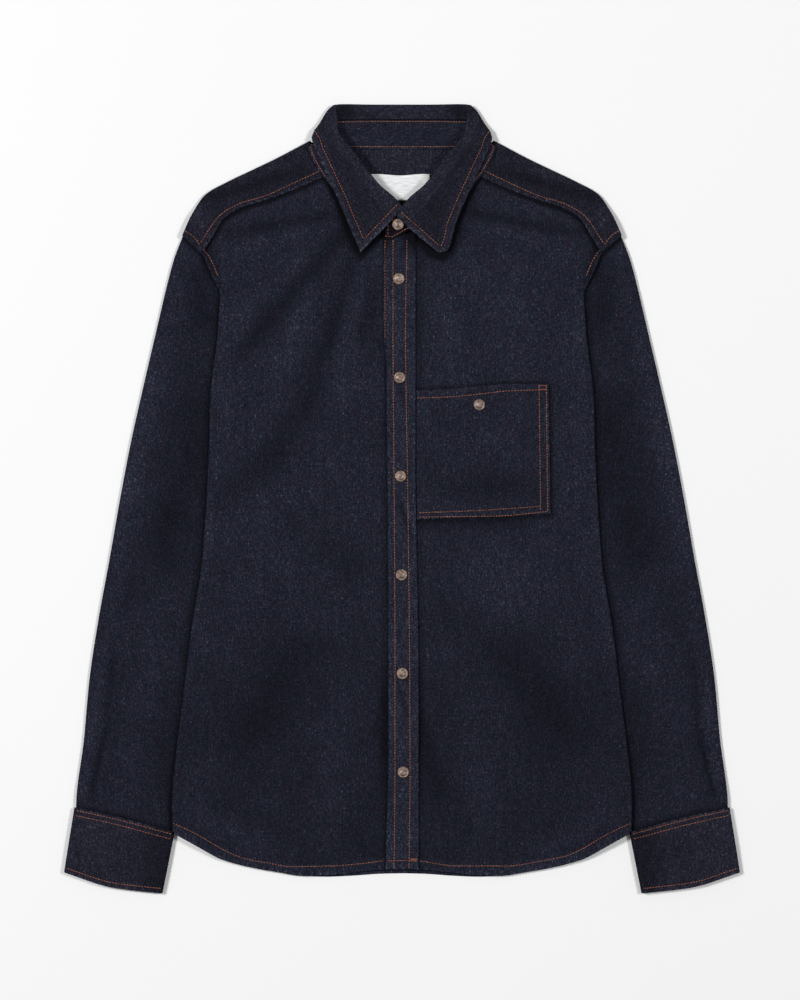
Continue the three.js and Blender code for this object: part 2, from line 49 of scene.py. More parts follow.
def linear(hexColour, alpha=1.0):
    # sRGB to linear: the power curve above the dark end, a straight line below it
    parts = [int(hexColour[k:k + 2], 16) / 255 for k in (1, 3, 5)]
    return [c / 12.92 if c <= 0.04045 else ((c + 0.055) / 1.055) ** 2.4 for c in parts] + [alpha]


def makeCamera():
    # Straight above the shirt: the lens that fits frameHeight into a 36 mm sensor at this distance
    lens = bpy.data.cameras.new("camera")
    lens.lens = 36 * view["distance"] / view["frameHeight"]
    lens.sensor_width = 36
    lens.clip_end = 50
    camera = bpy.data.objects.new("camera", lens)
    camera.location = (view["centreX"] / 1000, view["centreY"] / 1000, view["distance"] / 1000 + 0.005)
    bpy.context.collection.objects.link(camera)
    bpy.context.scene.camera = camera


makeCamera()


# Sizes that the pieces share
cloth = {"wall": 1.0, "doubled": 1.4, "gap": 0.3, "overSleeve": 3.6, "frontLoft": 3.05, "neckRise": 1.3,
         "cornerLift": 2.2, "overSleeveShare": 0.66, "tuckTop": 2.7, "swell": 1.7}
cloth["lap"] = cloth["wall"] + cloth["gap"]

# Rows of each table: the first column is what the others are looked up by
bodyEdge = [(-337, 227), (-325, 230), (-302, 230), (-252, 226), (-197, 219), (-132, 211), (-62, 200),
            (40, 193.5), (104, 191.5), (166, 184), (206, 182), (224, 191), (243, 199), (253, 210.5), (261, 220)]
hemLine = [(0, -371.5, -375.5), (21, -372, -376), (51, -375, -378), (76, -377.4, -379), (98, -378, -378.2),
           (126, -374, -374), (149, -370, -370), (179.5, -362, -362), (202, -350, -350), (216, -342, -342),
           (227, -336, -336)]
frontTopLine = [(0, 5, 266), (0.06, 17, 270), (0.14, 33, 279), (0.24, 50, 294), (0.33, 66, 314), (0.38, 78, 326),
                (0.52, 112, 314.5), (0.64, 136, 306), (0.77, 163, 298), (0.86, 180, 288), (0.93, 192, 271),
                (1, 202, 251)]
armhole = [(0, 182, 206), (0.5, 191, 224), (1, 202, 251)]
sleeveOuter = [(-318, 326.2), (-309, 326.2), (-302, 326), (-242, 318.5), (-182, 313), (-122, 304), (-62, 293),
               (-2, 282.5), (58, 271), (118, 257.5), (178, 243.5), (208, 236.5), (238, 228.5), (262, 219.5)]
sleeveInner = [(-342, 232), (-332, 230.2), (-320, 224.5), (-302, 218), (-202, 191), (-102, 165), (-2, 143),
               (40, 138), (98, 138), (153, 150), (172, 158), (192, 167), (210, 175), (228, 183.5), (247, 192),
               (260, 205), (266, 213), (280, 235), (300, 262)]
sleeveCap = [(0, 218, 262), (0.12, 210, 261), (0.25, 203, 256), (0.4, 192, 246), (0.55, 183.5, 228),
             (0.7, 175, 210), (0.85, 164, 184), (1, 150, 153)]
shoulderLine = [(0, 92, 357), (0.25, 125, 339.5), (0.45, 150, 327.5), (0.65, 175, 315.5), (0.82, 196, 303.5),
                (0.92, 210, 283), (1, 219.5, 262)]
yokeFront = [(0, 79, 321), (0.25, 112, 306.5), (0.45, 136, 298), (0.65, 161, 290), (0.82, 178, 279.5),
             (0.92, 188, 263), (1, 198.5, 246)]
yokeBack = [(0, 84), (0.25, 115), (0.45, 140), (0.65, 162), (0.82, 178), (0.92, 190), (1, 199)]
cuffTop = [(0, 327.2, -309.5), (0.4, 287, -318.3), (1, 228, -334)]
cuffEnd = [(0, 337.6, -374.6), (0.45, 290, -389.5), (1, 240.2, -395.4)]
backYokeSeam = 243
frontTop = 266

# The collar's sections from the middle of its back (0) to its front end (1): x, y, z of the stand's seam,
# of the leaf's root, of the ridge, then the ridge's roll, then x, y, z of the outer face and of the edge
collarSections = [
    (0.00, 0, 349, 2.1, 0, 379, 2.9, 0, 393.2, 1.7, 1.0, 0, 375, 0.6, 0, 357, 0.6),
    (0.14, 30, 349, 2.1, 30, 379, 2.9, 30, 393.2, 1.7, 1.0, 30, 375, 0.6, 30, 357, 0.6),
    (0.26, 55, 349.2, 2.6, 54, 378.5, 3.4, 56, 393.6, 2.2, 1.2, 56, 375, 0.6, 56, 357, 0.6),
    (0.34, 74, 350.5, 4.8, 64, 378, 5.6, 68, 392.2, 5.5, 1.6, 75.5, 381, 1.9, 74, 359, 0.8),
    (0.40, 87, 352, 7.4, 67.5, 371, 9.2, 66, 381, 11.0, 2.2, 82, 374.5, 4.5, 85, 361, 2.4),
    (0.45, 94, 350, 7.6, 66, 359, 11.5, 64.5, 367, 14.5, 2.6, 85, 366, 8.6, 89.5, 359, 6.4),
    (0.52, 90, 339.5, 7.6, 62, 350, 13.0, 57, 355, 16.3, 2.8, 79, 351, 13.4, 87, 351, 10.8),
    (0.60, 82.5, 326, 7.6, 54, 342, 13.2, 47.5, 344, 17.0, 2.8, 68, 341, 14.4, 81.5, 337, 11.0),
    (0.70, 72, 313, 7.6, 43, 330, 12.6, 35.5, 326.5, 16.6, 2.8, 56, 324, 14.2, 73, 318, 11.0),
    (0.80, 58, 293.5, 7.7, 30, 313, 12.0, 22, 310.5, 15.6, 2.6, 44, 304, 13.4, 64, 299, 10.6),
    (0.90, 38, 275, 7.9, 13.5, 297, 11.6, 8, 299.5, 14.6, 2.4, 32, 282, 12.8, 54, 275, 10.2)]
collarEnds = {
    -1: [(1.00, 10, 269, 7.6, 3.5, 284, 10.6, -1.2, 289, 13.4, 1.8, 20, 267, 13.3, 41.3, 245.8, 9.0)],
    1: [(0.955, 12, 268, 10.0, 5.5, 287, 12.4, 0, 290, 15.4, 1.9, 22, 270, 13.4, 47.5, 251.5, 9.4),
        (0.98, 4, 266, 10.2, 3.5, 283, 12.4, -2.4, 285.5, 15.3, 1.8, 19, 266, 13.4, 44.5, 246.6, 9.2),
        (1.00, -2, 263, 10.3, 2, 279, 12.4, -4.6, 281, 15.2, 1.7, 15, 262.5, 13.4, 36.5, 245.4, 9.2)]}
standLapEnd = [(-10, 258.5, -7, 280, 10.1), (-17, 259, -17, 277, 10.1)]


def smooth(start, end, x):
    # 0 below start, 1 above end, and a cubic with level ends between them
    t = np.clip((np.asarray(x, float) - start) / (end - start), 0, 1)
    return t * t * (3 - 2 * t)


def mix(a, b, t):
    return a + (b - a) * t


def sample(rows, value, column=1):
    # One column of a table between its rows: cubics whose slopes are harmonic means, so none overshoots
    data = np.asarray(rows, float)
    x, y = data[:, 0], data[:, column]
    value = np.clip(np.asarray(value, float), x[0], x[-1])
    width = np.diff(x)
    rise = np.diff(y) / width
    slope = np.r_[rise[0], np.zeros(len(x) - 2), rise[-1]]
    product = rise[:-1] * rise[1:]
    total = np.where(product > 0, rise[:-1] + rise[1:], 1)
    slope[1:-1] = np.where(product > 0, 2 * product / total, 0)
    i = np.clip(np.searchsorted(x, value) - 1, 0, len(x) - 2)
    t = (value - x[i]) / width[i]
    a, b = y[i], y[i + 1]
    ma, mb = slope[i] * width[i], slope[i + 1] * width[i]
    return a + ma * t + (3 * (b - a) - 2 * ma - mb) * t ** 2 + (2 * (a - b) + ma + mb) * t ** 3


def folds(rows, x, y):
    # A sum of soft strokes. Each row: from x1, y1 to x2, y2, with a half-width and a height, a trough if
    # below 0. A stroke fades out over a quarter of its length at both ends.
    total = np.zeros(np.broadcast(x, y).shape)
    for x1, y1, x2, y2, width, height in rows:
        dx, dy = x2 - x1, y2 - y1
        along = ((x - x1) * dx + (y - y1) * dy) / (dx * dx + dy * dy)
        aside = ((x - x1) * dy - (y - y1) * dx) / math.hypot(dx, dy)
        ends = smooth(-0.25, 0.25, along) * (1 - smooth(0.75, 1.25, along))
        total += height * ends * np.exp(-(aside / width) ** 2)
    return total


# Folds of the fronts, a height of 1 being about a millimetre. The strokes are also painted into the colour: painted
# shade in the troughs and painted light on the ridges, which include painted shadows beside edges, as below the pocket
frontFolds = [
    (-152, 254, -80, 272, 6, 0.4), (152, 255, 84, 271, 6, 0.4), (-50, 276, -164, 140, 9, -1.5), (-44, 256, -76, 144, 7, -1.1), (-70, 180, -98, 82, 10, -0.85),
    (-80, 122, -142, 18, 13, -0.8), (-112, 62, -184, -10, 16, -0.7), (-27, 214, -42, 160, 7, -0.9), (-88, 244, -172, 176, 10, 0.4),
    (-92, 206, -128, 110, 12, 0.55), (-46, 200, -64, 90, 14, 0.4), (-24, 205, -34, 150, 9, -0.6),
    (60, 240, 100, 180, 14, 0.35), (46, 226, 48, 120, 14, 0.5), (110, 230, 128, 130, 22, 0.3),
    (-92, -140, -160, -250, 26, -1.2), (98, -140, 176, -250, 26, -1.2), (-20, -190, -20, -250, 8, -0.8),
    (18, -220, 40, -300, 10, -1.0), (-60, -200, -74, -350, 26, 0.5), (70, -200, 92, -350, 26, 0.5),
    (-130, 20, -170, -110, 24, 0.3), (66, -60, 130, -110, 26, 0.45), (-26, -75, -120, -20, 16, -0.45),
    (-150, -40, -190, -130, 20, -0.35), (34, -95, 60, -140, 16, -0.5), (-30, -300, -50, -366, 14, -0.4),
    (-190, -255, -212, -320, 16, 0.45), (192, -255, 214, -320, 16, 0.45), (-178, 190, -176, 60, 9, 0.45),
    (178, 190, 176, 60, 9, 0.45), (-190, 20, -205, -150, 8, 0.35), (190, 20, 207, -150, 8, 0.35),
    (-60, -30, -60, -120, 20, -0.3), (18, -27, 120, -24, 7, -1.2),
    (-205, -318, -130, -358, 14, 0.8), (205, -318, 130, -358, 14, 0.8), (-176, 264, -54, 286, 6, -1.3), (176, 264, 54, 288, 6, -1.3), (-56, 274, -50, 250, 8, -1.0),
    (58, 276, 52, 252, 8, -1.0), (-196, 262, -184, 205, 6, -1.3), (196, 262, 184, 205, 6, -1.3)]
# Folds of the sleeves, in half-widths and y
sleeveFolds = [
    (205, 230, 198, 170, 12, -0.9), (205, 100, 222, -20, 20, -1.0), (228, -10, 238, -70, 18, -0.9),
    (252, 150, 285, -40, 18, 0.45), (288, -150, 297, -240, 4, -0.7), (297, -236, 312, -300, 2.2, -1.7), (300, -157, 321, -309, 6, 0.5),
    (238, -100, 262, -220, 24, 0.4), (232, -180, 240, -300, 9, -0.5), (270, -240, 285, -310, 14, 0.4),
    (220, 60, 214, -20, 10, 0.3)]


def hemCorner(x, y):
    return cloth["cornerLift"] * smooth(-235, -318, y) * smooth(160, 224, np.abs(x))


def backHeight(x, y):
    # Middle of the back: on the surface, and lifted over the tucked part of each sleeve
    inside = sample(sleeveInner, y) - np.abs(x)
    return cloth["wall"] / 2 + cloth["overSleeve"] * (1 - smooth(12, 62, inside)) + hemCorner(x, y)


def frontHeight(x, y):
    below = backHeight(x, y) - cloth["wall"] / 2 - hemCorner(x, y)
    level = cloth["wall"] / 2 + cloth["frontLoft"] + cloth["overSleeveShare"] * below
    level = level + 1.15 * hemCorner(x, y) + cloth["neckRise"] * smooth(195, 232, y)
    ripple = 0.16 * np.sin(x / 23 + 1.1 * np.sin(y / 61)) * np.sin(y / 37 + 0.8 * np.sin(x / 44))
    return level + 0.8 * folds(frontFolds, x, y) + ripple


def frontLeftHeight(x, y):
    return frontHeight(x, y) + cloth["lap"] * (1 - smooth(16, 62, x))


def placketHeight(y):
    wrinkle = 0.5 * np.exp(-((y + 17) / 5) ** 2) - 0.35 * np.exp(-((y + 27) / 6) ** 2)
    return frontHeight(0, y) + 2 * cloth["lap"] + (cloth["doubled"] - cloth["wall"]) / 2 + 0.5 + wrinkle


def along(grid, axis):
    # Lengths along the rows (axis 1) or columns (axis 0) of a grid of points, from its first line
    step = np.linalg.norm(np.diff(grid, axis=axis), axis=2)
    return np.insert(np.cumsum(step, axis=axis), 0, 0, axis=axis)


def rimDistance(grid, side):
    # Distance of every point of a grid from one of its four rims, and how far along that rim it is
    axis = 0 if side in ("start", "end") else 1
    length = along(grid, axis)
    if side in ("end", "right"):
        length = length.take([-1], axis=axis) - length
    return length, along(grid, 1 - axis)


def normals(grid, ring=False):
    # Cross product of the differences between the neighbours along the rows and along the columns
    if ring:
        across = np.roll(grid, -1, axis=1) - np.roll(grid, 1, axis=1)
    else:
        across = np.gradient(grid, axis=1)
    normal = np.cross(across, np.gradient(grid, axis=0))
    return normal / np.maximum(np.linalg.norm(normal, axis=2, keepdims=True), 1e-9)


def spaced(length, step, rims=(True, True)):
    # Places from 0 to 1 about a step apart, with closer ones beside the rims, where the wall is rounded
    inner = np.linspace(0, length, max(3, int(round(length / step))) + 1)
    if rims[0]:
        inner = np.r_[0, 0.25, 0.7, inner[inner > 1.3]]
    if rims[1]:
        inner = np.r_[inner[inner < length - 1.3], length - 0.7, length - 0.25, length]
    return inner / length


def rounding(shape, rims):
    # Share of the full wall near each rim named: rolled edges, as cloth that is turned and stitched has
    share = np.ones(shape)
    for rim in rims:
        for k, part in enumerate((0.3, 0.72, 0.94)):
            where = {"start": np.s_[k, :], "end": np.s_[-1 - k, :], "left": np.s_[:, k], "right": np.s_[:, -1 - k]}
            share[where[rim]] = np.minimum(share[where[rim]], part)
    return share


def makeMesh(name, points, quads, uv, wearAndShade, material):
    # Millimetres to metres, flat faces to smooth ones, and the faces turned outwards by the signed volume
    a, b, c, d = (points[quads[:, k]] for k in range(4))
    volume = np.einsum("ij,ij->i", a, np.cross(b, c) + np.cross(c, d)).sum()
    if volume < 0:
        quads = quads[:, ::-1]
    mesh = bpy.data.meshes.new(name)
    mesh.vertices.add(len(points))
    mesh.vertices.foreach_set("co", (points / 1000).astype(np.float32).ravel())
    mesh.loops.add(quads.size)
    mesh.loops.foreach_set("vertex_index", quads.astype(np.int32).ravel())
    mesh.polygons.add(len(quads))
    mesh.polygons.foreach_set("loop_start", np.arange(0, quads.size, 4, dtype=np.int32))
    mesh.update(calc_edges=True)
    mesh.polygons.foreach_set("use_smooth", np.ones(len(quads), dtype=bool))
    layer = mesh.uv_layers.new(name="grain")
    layer.data.foreach_set("uv", (uv[quads.ravel()] / 1000).astype(np.float32).ravel())
    tones = mesh.attributes.new("wearAndShade", "FLOAT", "POINT")
    tones.data.foreach_set("value", np.asarray(wearAndShade, dtype=np.float32))
    mesh.materials.append(material)
    piece = bpy.data.objects.new(name, mesh)
    bpy.context.collection.objects.link(piece)
    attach(piece, "root")
    return piece


def wall(name, grid, thickness, material, uv, wearAndShade, ring=False, keep=None, rims=()):
    # A closed wall: each point of the middle surface is moved half the thickness to both sides along its
    # normal, and the two faces are joined along every rim. keep says which cells of the grid are cloth.
    rows, columns = grid.shape[:2]
    normal = normals(grid, ring)
    thick = np.broadcast_to(thickness, (rows, columns)) * rounding((rows, columns), rims)
    shift = normal * thick[..., None] / 2
    points = np.concatenate([(grid + shift).reshape(-1, 3), (grid - shift).reshape(-1, 3)])
    index = np.arange(rows * columns).reshape(rows, columns)
    if ring:
        index = np.concatenate([index, index[:, :1]], axis=1)
    has = np.ones((rows - 1, index.shape[1] - 1), bool) if keep is None else keep
    a, b, c, d = index[:-1, :-1], index[:-1, 1:], index[1:, 1:], index[1:, :-1]
    under = rows * columns
    padded = np.pad(has, 1)
    if ring:
        padded[:, 0] = padded[:, -2]
        padded[:, -1] = padded[:, 1]
    before, after = ~padded[:-2, 1:-1] & has, ~padded[2:, 1:-1] & has
    left, right = ~padded[1:-1, :-2] & has, ~padded[1:-1, 2:] & has

    def stack(mask, *corners):
        return np.stack([corner[mask] for corner in corners], axis=1)

    quads = np.concatenate([
        stack(has, a, b, c, d),
        stack(has, a + under, d + under, c + under, b + under),
        stack(before, b, a, a + under, b + under),
        stack(after, d, c, c + under, d + under),
        stack(left, a, d, d + under, a + under),
        stack(right, c, b, b + under, c + under)])
    used = np.unique(quads)
    place = np.zeros(len(points), int)
    place[used] = np.arange(len(used))
    uvBoth = np.concatenate([uv.reshape(-1, 2)] * 2)[used]
    wearAndShadeBoth = np.concatenate([np.broadcast_to(wearAndShade, (rows, columns)).ravel()] * 2)[used]
    return makeMesh(name, points[used], place[quads], uvBoth, wearAndShadeBoth, material)


def turned(grid, degrees):
    # The thread's own plane: plan coordinates turned so that the warp runs up v
    angle = math.radians(degrees)
    x, y = grid[..., 0], grid[..., 1]
    return np.stack([x * math.cos(angle) + y * math.sin(angle), y * math.cos(angle) - x * math.sin(angle)], axis=2)


def unrolled(grid):
    # For cloth that folds over itself: lengths along the rows and along the columns
    return np.stack([along(grid, 1) - along(grid, 1)[:, -1:] / 2, along(grid, 0)], axis=2)


def areaOf(grid, keep=None):
    # Sum of the cells of a grid, in square metres
    a, b = grid[1:, 1:] - grid[:-1, :-1], grid[1:, :-1] - grid[:-1, 1:]
    cell = np.linalg.norm(np.cross(a, b), axis=2) / 2
    return float((cell if keep is None else cell * keep).sum()) / 1e6


def layCloth(piece, nodes, grid, keep=None, ring=False):
    if ring:
        grid = np.concatenate([grid, grid[:, :1]], axis=1)
    width, length = along(grid, 1).max() / 1000, along(grid, 0).max() / 1000
    area = areaOf(grid, keep)
    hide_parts(*nodes)


def ropeWave(grid, side, pitch):
    # Slanting waves along a rim, from -1 to 1, whose spacing and height wander
    away, beside = rimDistance(grid, side)
    wander = 1.5 * np.sin(beside / (2.3 * pitch)) + 1.1 * np.sin(beside / (0.9 * pitch) + 2)
    uneven = 0.62 + 0.38 * np.sin(beside / (1.9 * pitch) + 2 * np.sin(beside / (4.7 * pitch)))
    return away, np.sin(2 * math.pi * (beside + 0.6 * away) / pitch + wander) * uneven


def ropes(grid, side, reach, height, pitch):
    # Roped edge: the waves, as deep as height and fading over reach
    away, wave = ropeWave(grid, side, pitch)
    return height * wave * np.exp(-(away / reach) ** 2) * smooth(0, 1.2, away)


def paleRim(grid, side, width, amount, pitch):
    # Wear along a rim: pale on the crests of its ropes and dark in the pinches between them
    away, wave = ropeWave(grid, side, pitch)
    return amount * np.exp(-(away / width) ** 2) * (0.3 + 0.55 * wave)


def lineAt(grid, normal, side, distance, inset=(0, 0)):
    # The line that stays at one distance from a rim, and its normals, less an inset in mm at both its ends
    axis = 0 if side in ("start", "end") else 1
    away, beside = rimDistance(grid, side)
    left = beside.take([-1], axis=1 - axis) - beside
    layers = [grid[..., 0], grid[..., 1], grid[..., 2], normal[..., 0], normal[..., 1], normal[..., 2], beside, left]
    if axis == 0:
        away, layers = away.T, [layer.T for layer in layers]
    if side in ("end", "right"):
        away, layers = away[:, ::-1], [layer[:, ::-1] for layer in layers]
    found = np.array([[np.interp(distance, away[i], layer[i]) for layer in layers] for i in range(len(away))])
    found = found[(found[:, 6] >= inset[0]) & (found[:, 7] >= inset[1])]
    return found[:, :3], found[:, 3:6]


def addNode(tree, kind, settings=None, **inputs):
    # Adds a shader node: settings are its own options, and each input is a value or another node's socket
    node = tree.nodes.new(kind)
    for option, value in (settings or {}).items():
        setattr(node, option, value)
    for label, value in inputs.items():
        socket = node.inputs[label.replace("_", " ")] if label[0] != "n" else node.inputs[int(label[1:])]
        if isinstance(value, bpy.types.NodeSocket):
            tree.links.new(value, socket)
        else:
            socket.default_value = value
    return node


def newMaterial(name):
    material = bpy.data.materials.new(name)
    material.use_nodes = True
    return material, material.node_tree, material.node_tree.nodes["Principled BSDF"]


def colourRamp(tree, factor, stops):
    ramp = addNode(tree, "ShaderNodeValToRGB", n0=factor)
    elements = ramp.color_ramp.elements
    elements[0].position, elements[0].color = stops[0][0], linear(stops[0][1])
    elements[1].position, elements[1].color = stops[-1][0], linear(stops[-1][1])
    for place, colour in stops[1:-1]:
        elements.new(place).color = linear(colour)
    return ramp.outputs["Color"]


denimLook = {"grainMm": (1.35, 2.1), "streakMm": (1.7, 6.0), "bandMm": (6.0, 26.0), "cloudMm": (30.0, 44.0),
             "fleckMm": (1.5, 2.2), "hueMm": (5.5, 12.0), "grain": 1.02, "streak": 0.68, "band": 0.26, "cloud": 0.16,
             "fleck": 1.7, "wearAndShade": 0.3, "bumpMm": 0.25,
             "plum": ["#0C0B12", "#16151F", "#1F1E2A", "#30303E", "#5D5E70"],
             "slate": ["#0B0C12", "#13161E", "#1B1F2A", "#2C313E", "#5A6171"],
             "ash": ["#0C0C11", "#15161D", "#1F202A", "#31333D", "#60636F"]}


def weightedSum(tree, base, terms):
    # base plus each term's distance from a half times its weight
    total = base
    for socket, weight in terms:
        term = addNode(tree, "ShaderNodeMath", {"operation": "MULTIPLY_ADD"}, n0=socket, n1=weight,
                       n2=-0.5 * weight)
        total = addNode(tree, "ShaderNodeMath", {"operation": "ADD"}, n0=term.outputs[0], n1=total).outputs[0]
    return total


def denimCloth(name, shade=0.0, tints=("plum", "slate")):
    # Rinsed black-blue denim. Its warp is dyed and spun unevenly, so the face is mottled, with short streaks up the
    # warp that lean to plum or to slate, and pale flecks where the weft shows. Its attribute makes it lighter where
    # edges rub, and also carries painted shade and light: painted shadows beside edges that lie on it and the painted
    # shading of folds. The fine grain stands for the twill's floats, which are 0.7 mm apart, drawn coarser to show.
    material, tree, shader = newMaterial(name)
    grainMap = addNode(tree, "ShaderNodeUVMap", {"uv_map": "grain"}).outputs["UV"]

    def noiseOf(size, detail, shift):
        place = addNode(tree, "ShaderNodeMapping", Vector=grainMap, Location=(shift, 1.7 * shift, 0),
                        Scale=(1000 / size[0], 1000 / size[1], 1))
        return addNode(tree, "ShaderNodeTexNoise", Vector=place.outputs["Vector"], Scale=1.0, Detail=detail,
                       Roughness=0.55).outputs["Fac"]

    grain = noiseOf(denimLook["grainMm"], 1.5, 3.1)
    streak = noiseOf(denimLook["streakMm"], 2.0, 7.7)
    band = noiseOf(denimLook["bandMm"], 2.0, 1.3)
    cloud = noiseOf(denimLook["cloudMm"], 2.0, 5.9)
    fleck = addNode(tree, "ShaderNodeMath", {"operation": "SUBTRACT", "use_clamp": True},
                    n0=noiseOf(denimLook["fleckMm"], 0.0, 11.3), n1=0.72).outputs[0]
    wearAndShade = addNode(tree, "ShaderNodeAttribute", {"attribute_name": "wearAndShade"}).outputs["Fac"]
    tone = weightedSum(tree, 0.49 + shade, [(grain, denimLook["grain"]), (streak, denimLook["streak"]),
                                           (band, denimLook["band"]), (cloud, denimLook["cloud"])])
    # The attribute read here: rub wear, and painted shade and painted light
    tone = addNode(tree, "ShaderNodeMath", {"operation": "MULTIPLY_ADD"}, n0=wearAndShade, n1=denimLook["wearAndShade"],
                   n2=tone).outputs[0]
    tone = addNode(tree, "ShaderNodeMath", {"operation": "MULTIPLY_ADD"}, n0=fleck, n1=denimLook["fleck"],
                   n2=tone).outputs[0]
    places = (0.0, 0.28, 0.5, 0.72, 1.0)
    first, second = (colourRamp(tree, tone, list(zip(places, denimLook[tint]))) for tint in tints)
    lean = addNode(tree, "ShaderNodeMapRange", Value=noiseOf(denimLook["hueMm"], 2.0, 19.0), From_Min=0.38,
                   From_Max=0.62)
    colour = addNode(tree, "ShaderNodeMix", {"data_type": "RGBA"}, n0=lean.outputs["Result"], n6=first, n7=second)
    bump = addNode(tree, "ShaderNodeBump", Height=weightedSum(tree, 0.5, [(grain, 1.0), (streak, 0.7)]),
                   Strength=0.6, Distance=denimLook["bumpMm"] / 1000)
    tree.links.new(colour.outputs[2], shader.inputs["Base Color"])
    tree.links.new(bump.outputs["Normal"], shader.inputs["Normal"])
    shader.inputs["Roughness"].default_value = 0.9
    shader.inputs["Specular IOR Level"].default_value = 0.05
    return material


def sewingThread(name):
    # Burnt-orange core-spun polyester: two plies twisted, so its sheen breaks along each stitch
    material, tree, shader = newMaterial(name)
    place = addNode(tree, "ShaderNodeTexCoord").outputs["Object"]
    patchy = addNode(tree, "ShaderNodeTexNoise", Vector=place, Scale=260.0, Detail=2.0).outputs["Fac"]
    colour = colourRamp(tree, patchy, [(0.3, "#6A3B29"), (0.55, "#925A40"), (0.8, "#B37E5D")])
    tree.links.new(colour, shader.inputs["Base Color"])
    shader.inputs["Roughness"].default_value = 0.6
    shader.inputs["Specular IOR Level"].default_value = 0.3
    return material


def satinLabel(name):
    # White polyester satin woven with a weft of filament yarn: smooth, with a lengthwise sheen and fine ribs
    material, tree, shader = newMaterial(name)
    grain = addNode(tree, "ShaderNodeUVMap", {"uv_map": "grain"}).outputs["UV"]
    place = addNode(tree, "ShaderNodeMapping", Vector=grain, Scale=(1000 / 9.0, 1000 / 0.9, 1))
    rib = addNode(tree, "ShaderNodeTexNoise", Vector=place.outputs["Vector"], Scale=1.0, Detail=2.0)
    colour = colourRamp(tree, rib.outputs["Fac"], [(0.3, "#CFD0D2"), (0.5, "#E4E5E6"), (0.7, "#F3F3F3")])
    bump = addNode(tree, "ShaderNodeBump", Height=rib.outputs["Fac"], Strength=0.25, Distance=0.0002)
    tree.links.new(colour, shader.inputs["Base Color"])
    tree.links.new(bump.outputs["Normal"], shader.inputs["Normal"])
    shader.inputs["Roughness"].default_value = 0.34
    shader.inputs["Anisotropic"].default_value = 0.5
    return material


def antiqueCopper(name):
    # Copper plating blackened and rubbed back: dark in the hollows, bright and scratched on the crown
    material, tree, shader = newMaterial(name)
    place = addNode(tree, "ShaderNodeTexCoord").outputs["Object"]
    patina = addNode(tree, "ShaderNodeTexNoise", Vector=place, Scale=420.0, Detail=4.0, Roughness=0.65)
    colour = colourRamp(tree, patina.outputs["Fac"], [
        (0.30, "#574A41"), (0.48, "#85736A"), (0.62, "#A6958B"), (0.8, "#C6B8AE")])
    rough = addNode(tree, "ShaderNodeMapRange", Value=patina.outputs["Fac"], To_Min=0.72, To_Max=0.5)
    bump = addNode(tree, "ShaderNodeBump", Height=patina.outputs["Fac"], Strength=0.3, Distance=0.0002)
    tree.links.new(colour, shader.inputs["Base Color"])
    tree.links.new(rough.outputs["Result"], shader.inputs["Roughness"])
    tree.links.new(bump.outputs["Normal"], shader.inputs["Normal"])
    shader.inputs["Metallic"].default_value = 1.0
    return material


bodyDenim = denimCloth("washedDenim")
sleeveDenim = denimCloth("washedDenimSleeve", -0.05)
greyDenim = denimCloth("washedDenimGrey", -0.01, ("plum", "ash"))
insideDenim = denimCloth("washedDenimInside", -0.02)
thread = sewingThread("orangeThread")
satin = satinLabel("whiteSatin")
copper = antiqueCopper("antiqueCopper")
print("materials made")

pieces = {}


def keepPiece(name, grid, thickness, ring=False):
    pieces[name] = {"grid": grid, "normal": normals(grid, ring), "half": thickness / 2}


def coons(bottom, top, left, right, u, v):
    # Ruled both ways between four border lines, less the corners that both rulings count
    uu, vv = u[None, :, None], v[:, None, None]
    corners = (1 - uu) * ((1 - vv) * bottom[0] + vv * top[0]) + uu * ((1 - vv) * bottom[-1] + vv * top[-1])
    return (1 - vv) * bottom[None] + vv * top[None] + (1 - uu) * left[:, None] + uu * right[:, None] - corners


armholeFrom = 0.925


def bodySide(side, v):
    y = mix(hemLine[-1][1], armhole[0][2], v / armholeFrom)
    t = (v - armholeFrom) / (1 - armholeFrom)
    fold = v <= armholeFrom
    half = np.where(fold, sample(bodyEdge, y), sample(armhole, t)) - cloth["wall"] / 2
    return np.stack([side * half, np.where(fold, y, sample(armhole, t, 2))], axis=1)


def liftTo(plan, height):
    return np.concatenate([plan, height(plan[..., 0], plan[..., 1])[..., None]], axis=2)


def edgeShadowMask(grid, line, width):
    # 1 on a line of x and y and fading to 0 over width: the mask of the painted shadow beside an edge that lies on the
    # cloth
    line = np.asarray(line, float)
    points = grid[..., :2].reshape(-1, 2)
    nearest = np.full(len(points), np.inf)
    for a, b in zip(line[:-1], line[1:]):
        way = b - a
        share = np.clip((points - a) @ way / (way @ way), 0, 1)
        nearest = np.minimum(nearest, np.hypot(*(points - a - share[:, None] * way).T))
    return np.exp(-(nearest / width) ** 2).reshape(grid.shape[:2])


# Edges that lie on the fronts and have painted shadow beside them, in half-widths: the leaf's outline on each side,
# the yoke's and the pocket's
leafLines = {-1: [(-86, 350), (-79, 331), (-70, 313), (-61, 293), (-47, 255), (-41, 245), (-2, 286)],
             1: [(86, 350), (79, 331), (70, 313), (61, 293), (50, 262), (47, 247), (41, 242), (32, 244.5), (-2, 279)]}
yokeLine = [(80, 320), (112, 306), (136, 297), (161, 289), (178, 278.5), (188, 262), (197, 247)]
pocketLine = [(14, 107.5), (60, 110), (97, 114), (147, 114), (149, -17), (100, -20), (14, -22.5)]


def leafShadowMask(grid):
    # 1 below the two leaves' front edges, fading to 0 over 11 mm: the mask of the painted shadow under the leaves
    return np.maximum(edgeShadowMask(grid, leafLines[-1], 11), edgeShadowMask(grid, leafLines[1], 11))


front = {"stepMm": 2.4, "paintedShadow": 0.9, "hemBand": 12.0, "hemExtra": 0.5, "edgeDrop": 0.9, "ropePitch": 8.5}


